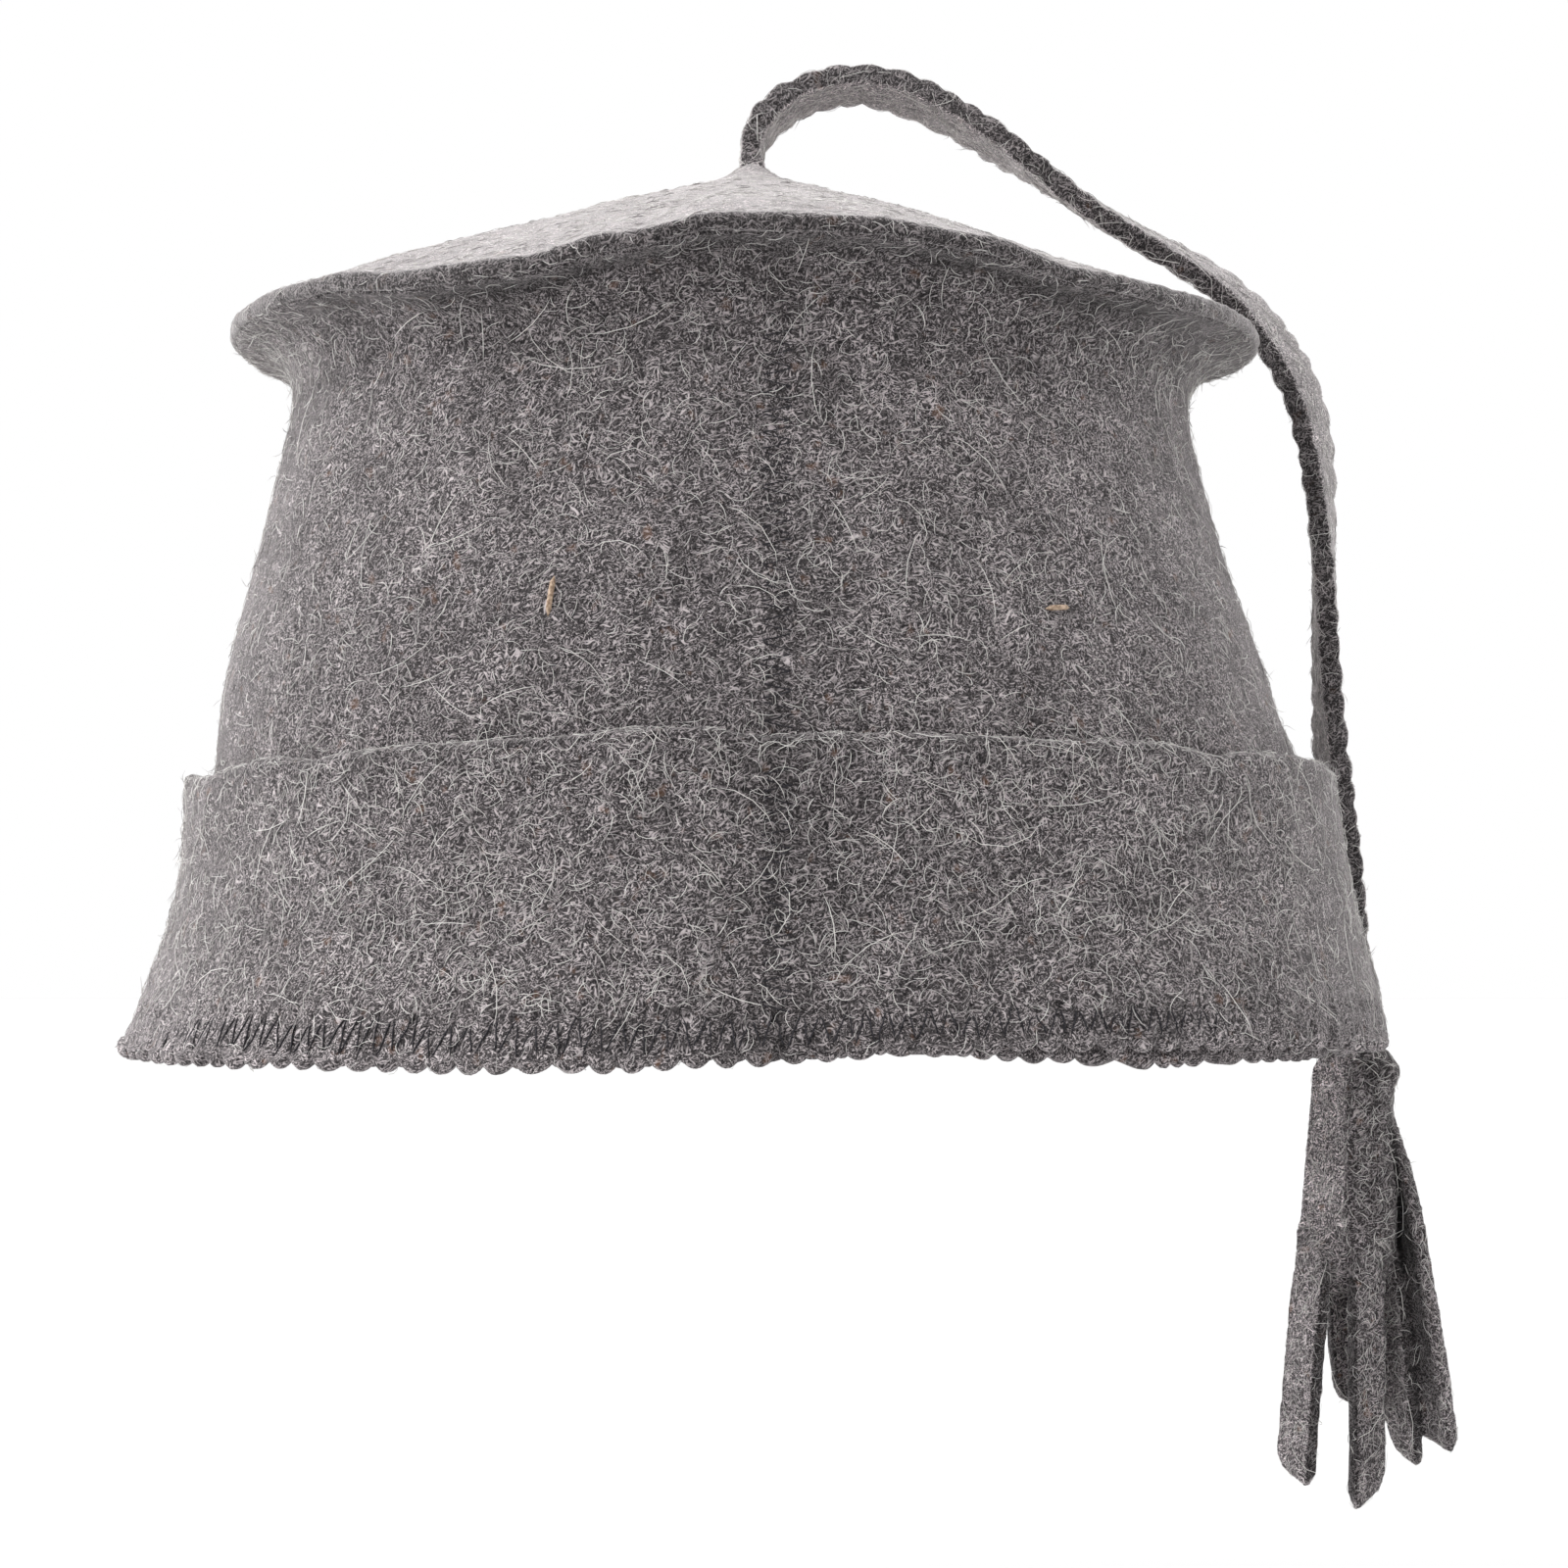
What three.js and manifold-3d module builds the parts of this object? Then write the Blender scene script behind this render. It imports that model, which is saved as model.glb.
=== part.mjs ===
// A felt sauna hat: a leaning oval crown whose upper edge flares into a flange, a low pointed
// top sewn to that flange, a cuff turned up around the opening, and a flat felt strap that
// stands up from the top, arches over and hangs beside the hat, ending in a slit tassel.
// Millimetres, +Z up. The upright seam of the wall faces -Y, and the strap hangs on the +X side.
// The origin is the middle of the head opening, level with the hem.

import * as THREE from "three";
import * as BufferGeometryUtils from "three/addons/utils/BufferGeometryUtils.js";
import Module from "manifold-3d";

const wasm = await Module();
wasm.setup();
const { degToRad, euclideanModulo, lerp, radToDeg, smoothstep } = THREE.MathUtils;

const FELT = 3;               // thickness of the wool felt
const RIM_FELT = 1.7;         // the same felt pulled thinner by the stitches along the rim
const SEWN_GAP = 0.3;         // clearance between two layers that are sewn together
const DEPTH_RATIO = 0.77;     // depth of the oval, front to back, over its width
const SEGMENTS = 72;          // facets around the oval

const TOP_RISE = 32;          // height of the pointed top above its own edge
const STRAP_WIDTH = 13;
const STRAP_THICKNESS = 4.2;
const STRAP_STEPS = 60;
const STRIP_THICKNESS = 2.8;  // felt of the tassel
const STRIP_STATIONS = 5;

// Outside of the cuff from the hem up to its free edge. Gap is the room between cuff and wall.
const CUFF = [
  { height: 0.0, half: 124.6, lean: 0.3, gap: 0.6 },
  { height: 3.5, half: 123.5, lean: 1.0, gap: 0.6 },
  { height: 9.0, half: 121.7, lean: 1.7, gap: 0.6 },
  { height: 15.0, half: 119.8, lean: 2.2, gap: 0.7 },
  { height: 21.0, half: 118.0, lean: 2.5, gap: 0.9 },
  { height: 31.0, half: 115.8, lean: 2.6, gap: 1.3 },
  { height: 42.0, half: 114.4, lean: 2.0, gap: 2.1 },
  { height: 53.0, half: 113.8, lean: 1.6, gap: 3.0 },
];

// Outside of the wall above the cuff: straight slope, neck, then the flare up to the rim.
const WALL = [
  { height: 62.0, half: 105.7, lean: -0.2 },
  { height: 76.0, half: 102.3, lean: -1.2 },
  { height: 92.0, half: 97.6, lean: -2.2 },
  { height: 108.0, half: 93.5, lean: -2.6 },
  { height: 119.0, half: 90.9, lean: -2.6 },
  { height: 125.5, half: 89.8, lean: -2.3 },
  { height: 130.3, half: 90.3, lean: -2.0 },
  { height: 134.0, half: 92.4, lean: -1.8 },
  { height: 136.5, half: 95.8, lean: -1.6 },
  { height: 137.7, half: 99.5, lean: -1.5 },
  { height: 138.2, half: 103.0, lean: -1.4 },
];

// Upper face of the top: reach is the fraction of the way out to the rim, rise of its full height.
const TOP = [
  { reach: 0.05, rise: 0.985 },
  { reach: 0.16, rise: 0.885 },
  { reach: 0.35, rise: 0.685 },
  { reach: 0.55, rise: 0.465 },
  { reach: 0.75, rise: 0.245 },
  { reach: 0.9, rise: 0.085 },
  { reach: 0.97, rise: 0.016 },
  { reach: 1.0, rise: 0.0 },
];
const TOP_LEAN = { middle: 0, rim: -1.4 };

// Waves of the soft edges: how far each edge is lifted at angles around the oval.
// Angles are in degrees from the strap's side; the seam at the front is at -90.
const WAVES = [
  { angle: -180, rim: 0.6, cuffEdge: -0.6, cuffHem: -0.4, wallHem: 0.0 },
  { angle: -152, rim: -0.4, cuffEdge: -1.3, cuffHem: -0.8, wallHem: -0.4 },
  { angle: -138, rim: -1.0, cuffEdge: -0.8, cuffHem: -0.7, wallHem: -0.3 },
  { angle: -124, rim: -3.7, cuffEdge: 0.2, cuffHem: -0.6, wallHem: -0.2 },
  { angle: -112, rim: -3.9, cuffEdge: 1.0, cuffHem: -0.5, wallHem: 0.0 },
  { angle: -102, rim: -1.7, cuffEdge: 1.6, cuffHem: -0.2, wallHem: 0.3 },
  { angle: -92, rim: 1.9, cuffEdge: 1.9, cuffHem: 0.8, wallHem: 1.1 },
  { angle: -77, rim: 2.0, cuffEdge: 1.8, cuffHem: 2.6, wallHem: 2.5 },
  { angle: -66, rim: 0.7, cuffEdge: 1.5, cuffHem: 3.0, wallHem: 0.7 },
  { angle: -55, rim: -2.3, cuffEdge: 1.2, cuffHem: 2.8, wallHem: -0.6 },
  { angle: -40, rim: -2.6, cuffEdge: 0.8, cuffHem: 2.0, wallHem: -0.4 },
  { angle: -15, rim: -1.2, cuffEdge: 0.2, cuffHem: 0.4, wallHem: 0.2 },
  { angle: 5, rim: -0.3, cuffEdge: 0.0, cuffHem: 0.0, wallHem: 0.2 },
  { angle: 20, rim: 1.3, cuffEdge: -0.2, cuffHem: -0.2, wallHem: 0.0 },
  { angle: 90, rim: 0.9, cuffEdge: 0.5, cuffHem: 0.2, wallHem: 0.4 },
  { angle: 135, rim: -0.8, cuffEdge: 0.0, cuffHem: -0.3, wallHem: 0.0 },
  { angle: 180, rim: 0.6, cuffEdge: -0.6, cuffHem: -0.4, wallHem: 0.0 },
];
const HEM_WAVE_HEIGHT = 16;   // the waves of the hem die out at this height
const EDGE_WAVE_FOOT = 30;    // those of the cuff's free edge start here
const RIM_WAVE_FOOT = 118;    // and those of the rim here

// Middle line of the strap, from the point of the top to the head of the tassel.
// Twist turns the strip about its own line: at 0 its width lies front to back.
const STRAP = [
  { x: -0.1, y: 0.0, z: 176.0, twist: 0 },
  { x: -0.6, y: 0.0, z: 180.5, twist: 0 },
  { x: -0.5, y: 0.5, z: 184.6, twist: 0 },
  { x: 1.1, y: 1.0, z: 188.7, twist: 0 },
  { x: 4.1, y: 1.5, z: 192.0, twist: 0 },
  { x: 8.7, y: 2.0, z: 194.5, twist: 0 },
  { x: 14.4, y: 2.4, z: 195.9, twist: 0 },
  { x: 22.5, y: 3.0, z: 196.4, twist: 0 },
  { x: 30.6, y: 4.0, z: 195.0, twist: 2 },
  { x: 38.8, y: 5.0, z: 192.0, twist: 4 },
  { x: 47.0, y: 6.0, z: 187.8, twist: 7 },
  { x: 55.2, y: 7.0, z: 182.8, twist: 10 },
  { x: 63.4, y: 8.0, z: 177.3, twist: 13 },
  { x: 71.6, y: 9.0, z: 171.9, twist: 16 },
  { x: 80.3, y: 10.0, z: 166.9, twist: 20 },
  { x: 88.8, y: 11.0, z: 162.5, twist: 25 },
  { x: 95.7, y: 12.0, z: 158.4, twist: 29 },
  { x: 101.9, y: 12.5, z: 153.5, twist: 33 },
  { x: 107.0, y: 13.0, z: 147.8, twist: 36 },
  { x: 111.2, y: 13.5, z: 141.9, twist: 37 },
  { x: 114.1, y: 14.0, z: 136.4, twist: 37 },
  { x: 116.0, y: 14.3, z: 130.9, twist: 35 },
  { x: 117.3, y: 14.6, z: 124.7, twist: 32 },
  { x: 118.6, y: 15.0, z: 112.4, twist: 24 },
  { x: 119.1, y: 15.5, z: 100.0, twist: 16 },
  { x: 119.3, y: 16.0, z: 87.7, twist: 10 },
  { x: 119.6, y: 16.8, z: 75.5, twist: 5 },
  { x: 120.4, y: 18.0, z: 63.2, twist: 2 },
  { x: 121.9, y: 19.6, z: 51.0, twist: 0 },
  { x: 123.7, y: 21.5, z: 38.8, twist: 0 },
  { x: 125.3, y: 23.3, z: 26.5, twist: 0 },
  { x: 126.5, y: 25.0, z: 12.1, twist: 0 },
  { x: 126.9, y: 25.6, z: -4.0, twist: 0 },
];

// The rolled head of the tassel, from the strap down to where the slits begin.
const TASSEL_AXIS = { x: 126.9, y: 26 };
const HEAD = [
  { height: -4.5, shift: -0.1, halfWidth: 7.8, halfDepth: 5.6 },
  { height: -6.5, shift: 0.0, halfWidth: 8.7, halfDepth: 6.4 },
  { height: -10.0, shift: -0.6, halfWidth: 8.4, halfDepth: 6.2 },
  { height: -25.0, shift: -1.3, halfWidth: 9.3, halfDepth: 6.4 },
  { height: -46.0, shift: -2.6, halfWidth: 10.4, halfDepth: 6.8 },
];
const HEAD_SIDES = 20;

// The strips cut below the head, seen from the front left to right. Top and tip are the ends of a
// strip's middle line, sideways and front to back from the axis, and in height. Bow is how far out
// it already is half way down, turn is about its own length, and slant is how much lower its right
// corner is cut.
const STRIPS = [
  { top: [-8.0, -2.6, -36], tip: [-15.2, -4.5, -90.0], bow: 0.6, width: 8.0, turn: -24, slant: 4.4 },
  { top: [-4.0, 3.2, -34], tip: [-0.8, 5.2, -77.0], bow: 0.35, width: 8.6, turn: 16, slant: 3.6 },
  { top: [0.2, -3.4, -34], tip: [-0.6, -5.2, -94.5], bow: 0.5, width: 7.8, turn: 18, slant: -4.6 },
  { top: [2.8, 3.4, -36], tip: [5.2, 6.6, -80.5], bow: 0.4, width: 8.4, turn: -10, slant: 2.0 },
  { top: [4.8, 1.6, -32], tip: [9.4, 2.4, -87.5], bow: 0.5, width: 7.6, turn: 26, slant: 3.4 },
  { top: [6.2, -1.2, -16], tip: [16.6, -2.6, -84.0], bow: 0.64, width: 8.4, turn: 62, slant: 3.0 },
];

const COLOURS = { wall: 0x6e696b, top: 0x8a8485, cuff: 0x716c6e, strap: 0x6a6566, tassel: 0x666162 };

// Lift of one edge at an angle, eased from one row of the waves to the next.
function wave(column, angle) {
  const degrees = euclideanModulo(radToDeg(angle) + 180, 360) - 180;
  const next = Math.max(1, WAVES.findIndex((row) => row.angle >= degrees));
  const [from, to] = [WAVES[next - 1], WAVES[next]];
  const ease = smoothstep(degrees, from.angle, to.angle);
  return lerp(from[column], to[column], ease);
}

// Gives each row the direction square to the felt, outward and upward, from its neighbours.
function withNormals(rows) {
  return rows.map((row, i) => {
    const below = rows[Math.max(0, i - 1)];
    const above = rows[Math.min(rows.length - 1, i + 1)];
    const square = new THREE.Vector2(above.height - below.height, below.half - above.half).normalize();
    return { ...row, out: square.x, up: square.y };
  });
}

// One oval ring of points, moved into the felt by inset and lifted by a function of the angle.
function ovalRing(row, inset, lift) {
  return Array.from({ length: SEGMENTS }, (_, i) => {
    const angle = (2 * Math.PI * i) / SEGMENTS;
    const [cos, sin] = [Math.cos(angle), Math.sin(angle)];
    const square = new THREE.Vector2(cos * DEPTH_RATIO, sin).normalize();
    return new THREE.Vector3(
      row.lean + row.half * cos - inset * row.out * square.x,
      row.half * DEPTH_RATIO * sin - inset * row.out * square.y,
      row.height - inset * row.up + lift(angle),
    );
  });
}

// Skins a list of rings. A closed list joins its last ring to its first, as around a wall;
// an open one is shut at both ends by fans about the middle of the end rings.
function skinRings(rings, closed) {
  const sides = rings[0].length;
  const points = rings.flat();
  const index = [];
  const last = closed ? rings.length : rings.length - 1;
  for (let r = 0; r < last; r += 1) {
    const [low, high] = [r * sides, ((r + 1) % rings.length) * sides];
    for (let i = 0; i < sides; i += 1) {
      const j = (i + 1) % sides;
      index.push(low + i, low + j, high + j, low + i, high + j, high + i);
    }
  }
  if (!closed) {
    for (const [ring, flip] of [[0, true], [rings.length - 1, false]]) {
      const middle = rings[ring].reduce((sum, p) => sum.add(p), new THREE.Vector3()).divideScalar(sides);
      points.push(middle);
      for (let i = 0; i < sides; i += 1) {
        const [a, b] = [ring * sides + i, ring * sides + ((i + 1) % sides)];
        index.push(...(flip ? [b, a, points.length - 1] : [a, b, points.length - 1]));
      }
    }
  }
  const geometry = new THREE.BufferGeometry().setFromPoints(points);
  geometry.setIndex(index);
  return geometry;
}

// A named piece of felt.
function piece(name, geometry, colour) {
  const material = new THREE.MeshStandardMaterial({ color: colour, roughness: 0.95, metalness: 0 });
  geometry.computeVertexNormals();
  const mesh = new THREE.Mesh(geometry, material);
  mesh.name = name;
  return mesh;
}

// Cuff: outer rows from the hem to the free edge, then back down the inside. It stands so
// nearly upright that its thickness is measured level.
const cuffRows = CUFF.map((row) => ({ ...row, out: 1, up: 0 }));
function cuffLift(row) {
  const edge = smoothstep(row.height, EDGE_WAVE_FOOT, CUFF.at(-1).height);
  const hem = 1 - smoothstep(row.height, 0, HEM_WAVE_HEIGHT);
  return (angle) => edge * wave("cuffEdge", angle) + hem * wave("cuffHem", angle);
}
const cuffOutside = cuffRows.map((row) => ovalRing(row, 0, cuffLift(row)));
const cuffInside = cuffRows.map((row) => ovalRing(row, FELT, cuffLift(row))).reverse();
const cuff = piece("cuff", skinRings([...cuffOutside, ...cuffInside], true), COLOURS.cuff);

// Wall: behind the cuff it follows the cuff's shape, and above it its own rows up to the rim.
function wallLift(row) {
  const rim = smoothstep(row.height, RIM_WAVE_FOOT, WALL.at(-1).height);
  const hem = 1 - smoothstep(row.height, 0, HEM_WAVE_HEIGHT);
  return (angle) => rim * wave("rim", angle) + hem * wave("wallHem", angle);
}
const wallRows = withNormals(WALL);
const rimThinning = (row) => lerp(FELT, RIM_FELT, smoothstep(row.height, RIM_WAVE_FOOT, 136));
const wallOutside = [
  ...cuffRows.map((row) => ovalRing(row, FELT + row.gap, wallLift(row))),
  ...wallRows.map((row) => ovalRing(row, 0, wallLift(row))),
];
const wallInside = [
  ...cuffRows.map((row) => ovalRing(row, 2 * FELT + row.gap, wallLift(row))),
  ...wallRows.map((row) => ovalRing(row, rimThinning(row), wallLift(row))),
].reverse();
const wall = piece("crown_wall", skinRings([...wallOutside, ...wallInside], true), COLOURS.wall);

// Top: the lower face rests on the flange along the rim and rises with the upper face.
const rimRow = WALL.at(-1);
const topFoot = rimRow.height + RIM_FELT + SEWN_GAP;
function topRing({ reach, rise }, thickness) {
  const row = {
    height: topFoot + TOP_RISE * rise + thickness,
    half: rimRow.half * reach,
    lean: lerp(TOP_LEAN.middle, TOP_LEAN.rim, reach),
    out: 0,
    up: 1,
  };
  return ovalRing(row, 0, (angle) => smoothstep(reach, 0.25, 1) * wave("rim", angle));
}
const topThickness = ({ reach }) => lerp(FELT * 1.06, RIM_FELT, smoothstep(reach, 0.8, 1));
const topLower = TOP.map((row) => topRing(row, 0));
const topUpper = TOP.map((row) => topRing(row, topThickness(row))).reverse();
const top = piece("crown_top", skinRings([...topLower, ...topUpper], false), COLOURS.top);

// Strap: a flat section drawn along its middle line, turned by the twist at each step.
const strapPoints = STRAP.map(({ x, y, z }) => new THREE.Vector3(x, y, z));
const strapLine = new THREE.CatmullRomCurve3(strapPoints, false, "centripetal");
function strapTwist(u) {
  const at = strapLine.getUtoTmapping(u) * (STRAP.length - 1);
  const row = Math.min(Math.floor(at), STRAP.length - 2);
  return degToRad(lerp(STRAP[row].twist, STRAP[row + 1].twist, at - row));
}
strapLine.computeFrenetFrames = (steps) => {
  const frames = { tangents: [], normals: [], binormals: [] };
  for (let i = 0; i <= steps; i += 1) {
    const tangent = strapLine.getTangentAt(i / steps);
    const across = new THREE.Vector3(0, 1, 0).addScaledVector(tangent, -tangent.y).normalize();
    across.applyAxisAngle(tangent, strapTwist(i / steps));
    frames.tangents.push(tangent);
    frames.normals.push(across);
    frames.binormals.push(new THREE.Vector3().crossVectors(tangent, across));
  }
  return frames;
};
const [strapHalf, strapDeep] = [STRAP_WIDTH / 2, STRAP_THICKNESS / 2];
const strapSection = new THREE.Shape([
  new THREE.Vector2(strapHalf, -strapDeep * 0.5),
  new THREE.Vector2(strapHalf, strapDeep * 0.5),
  new THREE.Vector2(strapHalf - strapDeep * 0.5, strapDeep),
  new THREE.Vector2(-strapHalf + strapDeep * 0.5, strapDeep),
  new THREE.Vector2(-strapHalf, strapDeep * 0.5),
  new THREE.Vector2(-strapHalf, -strapDeep * 0.5),
  new THREE.Vector2(-strapHalf + strapDeep * 0.5, -strapDeep),
  new THREE.Vector2(strapHalf - strapDeep * 0.5, -strapDeep),
]);
const strapGeometry = new THREE.ExtrudeGeometry(strapSection, { steps: STRAP_STEPS, extrudePath: strapLine });
const strap = piece("strap", strapGeometry, COLOURS.strap);

// Tassel: one strip of felt from its root in the head to its slanted tip.
function stripGeometry(strip) {
  const axis = new THREE.Vector3(TASSEL_AXIS.x, TASSEL_AXIS.y, 0);
  const root = new THREE.Vector3(...strip.top).add(axis);
  const tip = new THREE.Vector3(...strip.tip).add(axis);
  const bow = root.clone().lerp(tip, 0.5).setX(lerp(root.x, tip.x, 2 * strip.bow - 0.5));
  const line = new THREE.QuadraticBezierCurve3(root, bow, tip);
  const turn = degToRad(strip.turn);
  const across = new THREE.Vector3(Math.cos(turn), Math.sin(turn), 0);
  const through = new THREE.Vector3(-Math.sin(turn), Math.cos(turn), 0);
  const corners = [[1, -1], [1, 1], [-1, 1], [-1, -1]];
  const rings = line.getPoints(STRIP_STATIONS).map((point, i) => corners.map(([w, t]) => {
    const corner = point.clone().addScaledVector(across, (w * strip.width) / 2);
    corner.addScaledVector(through, (t * STRIP_THICKNESS) / 2);
    corner.z -= i === STRIP_STATIONS ? (w * strip.slant) / 2 : 0;
    return corner;
  }));
  return skinRings(rings.reverse(), false);
}

// The head is a loft through its own rows.
function headGeometry() {
  const angles = Array.from({ length: HEAD_SIDES }, (_, i) => (2 * Math.PI * i) / HEAD_SIDES);
  const rings = HEAD.map(({ height, shift, halfWidth, halfDepth }) => angles.map((angle) => new THREE.Vector3(
    TASSEL_AXIS.x + shift + halfWidth * Math.cos(angle),
    TASSEL_AXIS.y + halfDepth * Math.sin(angle),
    height,
  )));
  return skinRings(rings.reverse(), false);
}

// A skin with shared corners becomes a solid that can be joined to others, and back.
function toSolid(geometry) {
  const merged = BufferGeometryUtils.mergeVertices(geometry);
  const vertProperties = new Float32Array(merged.attributes.position.array);
  const triVerts = new Uint32Array(merged.index.array);
  return new wasm.Manifold(new wasm.Mesh({ numProp: 3, vertProperties, triVerts }));
}

function toGeometry(solid) {
  const { vertProperties, triVerts } = solid.getMesh();
  const geometry = new THREE.BufferGeometry();
  geometry.setAttribute("position", new THREE.BufferAttribute(vertProperties, 3));
  geometry.setIndex(new THREE.BufferAttribute(triVerts, 1));
  return geometry;
}

let tasselSolid = toSolid(headGeometry());
for (const strip of STRIPS) tasselSolid = tasselSolid.add(toSolid(stripGeometry(strip)));
const tassel = piece("tassel", toGeometry(tasselSolid), COLOURS.tassel);

const hat = new THREE.Group();
hat.add(wall, top, cuff, strap, tassel);

export default hat;
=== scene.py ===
import math

import bmesh
import bpy
import numpy as np
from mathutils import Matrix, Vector
from mathutils.bvhtree import BVHTree


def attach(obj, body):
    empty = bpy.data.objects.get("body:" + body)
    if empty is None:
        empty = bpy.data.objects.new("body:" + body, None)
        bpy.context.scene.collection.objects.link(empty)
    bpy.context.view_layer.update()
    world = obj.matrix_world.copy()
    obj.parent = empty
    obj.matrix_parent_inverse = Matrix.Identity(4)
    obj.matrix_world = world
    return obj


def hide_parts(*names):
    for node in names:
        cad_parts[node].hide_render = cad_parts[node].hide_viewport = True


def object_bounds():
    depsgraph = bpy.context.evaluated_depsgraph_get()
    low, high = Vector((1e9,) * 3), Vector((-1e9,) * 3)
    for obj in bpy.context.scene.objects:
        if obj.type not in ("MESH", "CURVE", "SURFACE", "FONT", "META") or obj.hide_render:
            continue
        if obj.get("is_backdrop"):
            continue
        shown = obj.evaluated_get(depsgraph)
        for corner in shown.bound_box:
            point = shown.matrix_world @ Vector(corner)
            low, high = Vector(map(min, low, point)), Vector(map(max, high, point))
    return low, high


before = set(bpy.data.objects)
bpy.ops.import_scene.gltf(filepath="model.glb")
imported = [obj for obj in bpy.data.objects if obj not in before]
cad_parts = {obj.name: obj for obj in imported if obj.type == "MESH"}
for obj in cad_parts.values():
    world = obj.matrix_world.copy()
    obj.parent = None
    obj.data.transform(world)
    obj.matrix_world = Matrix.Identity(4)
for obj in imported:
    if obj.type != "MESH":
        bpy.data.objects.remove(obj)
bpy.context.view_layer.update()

# Crown wall. One curved strip of thick grey wool felt, closed by an upright butt seam in front and
# blocked so that its upper edge flares into a flange. Its lower edge is sewn to the cuff.
MM = 0.001
FELT = 3.0
RIM_FELT = 1.7
DEPTH_RATIO = 0.77
FINE, MEDIUM, COARSE = 1024, 512, 256

# Outside of the cuff from the hem to its free edge, which the wall follows behind a gap.
CUFF_ROWS = np.array([
    # height, half width, lean, gap
    (0.0, 124.6, 0.3, 0.6), (3.5, 123.5, 1.0, 0.6), (9.0, 121.7, 1.7, 0.6), (15.0, 119.8, 2.2, 0.7),
    (21.0, 118.0, 2.5, 0.9), (31.0, 115.8, 2.6, 1.3), (42.0, 114.4, 2.0, 2.1), (53.0, 113.8, 1.6, 3.0),
])

# Outside of the wall above the cuff: a straight slope, the neck, then the flare up to the rim.
WALL_ROWS = np.array([
    # height, half width, lean
    (62.0, 105.7, -0.2), (76.0, 102.3, -1.2), (92.0, 97.6, -2.2), (108.0, 93.5, -2.6),
    (119.0, 90.9, -2.6), (125.5, 89.8, -2.3), (130.3, 90.3, -2.0), (134.0, 92.4, -1.8),
    (136.5, 95.8, -1.6), (137.7, 99.5, -1.5), (138.2, 102.3, -1.4),
])

# How far each soft edge is lifted, by the angle in degrees from the strap's side. The front is at -90.
WAVES = np.array([
    # angle, rim, cuff's free edge, cuff's hem, wall's hem
    (-180, 0.6, -0.6, -0.4, 0.0), (-152, -0.4, -1.3, -0.8, -0.4), (-138, -1.0, -0.8, -0.7, -0.3),
    (-124, -3.5, 0.2, -0.6, -0.2), (-112, -3.2, 1.0, -0.5, 0.0), (-102, -0.3, 1.6, -0.2, 0.3),
    (-92, 2.8, 1.9, 0.8, 1.1), (-77, 2.7, 1.8, 2.6, 2.5), (-66, 0.9, 1.5, 3.0, 0.7),
    (-55, -2.3, 1.2, 2.8, -0.6), (-40, -2.6, 0.8, 2.0, -0.4), (-15, -1.2, 0.2, 0.4, 0.2),
    (5, -0.3, 0.0, 0.0, 0.2), (20, 1.3, -0.2, -0.2, 0.0), (90, 0.9, 0.5, 0.2, 0.4),
    (135, -0.8, 0.0, -0.3, 0.0), (180, 0.6, -0.6, -0.4, 0.0),
])
RIM, CUFF_EDGE, CUFF_HEM, WALL_HEM = 1, 2, 3, 4
HEM_WAVE_HEIGHT = 16.0
EDGE_WAVE_FOOT = 30.0
RIM_WAVE_FOOT = 118.0


def ease(value, low, high):
    """0 below low, 1 above high, and a soft step between them."""
    t = np.clip((np.asarray(value, float) - low) / (high - low), 0, 1)
    return t * t * (3 - 2 * t)


def edge_lift(column, angle):
    """Lift in millimetres of one soft edge at angles in radians, eased from row to row of the waves."""
    degrees = (np.degrees(angle) + 180) % 360 - 180
    row = np.clip(np.searchsorted(WAVES[:, 0], degrees), 1, len(WAVES) - 1)
    low, high = WAVES[row - 1], WAVES[row]
    share = ease((degrees - low[..., 0]) / (high[..., 0] - low[..., 0]), 0, 1)
    return low[..., column] + (high[..., column] - low[..., column]) * share


def smooth_line(rows, spacing, measure=3):
    """Points on a smooth line through the rows of a table, about one spacing apart along the line."""
    rows = np.array(rows, float)
    along = np.r_[0, np.cumsum(np.linalg.norm(np.diff(rows[:, :measure], axis=0), axis=1))]
    slope = np.gradient(rows, along, axis=0)
    at = np.linspace(0, along[-1], max(2, round(along[-1] / spacing) + 1))
    i = np.clip(np.searchsorted(along, at, side="right") - 1, 0, len(rows) - 2)
    gap = (along[i + 1] - along[i])[:, None]
    t = (at - along[i])[:, None] / gap
    return ((2 * t**3 - 3 * t**2 + 1) * rows[i] + (t**3 - 2 * t**2 + t) * gap * slope[i]
            + (3 * t**2 - 2 * t**3) * rows[i + 1] + (t**3 - t**2) * gap * slope[i + 1])


OUTSIDE, UPPER_EDGE, INSIDE, LOWER_EDGE = 0, 1, 2, 3
EDGE_RINGS = 6
CORNER = 0.55


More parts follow.
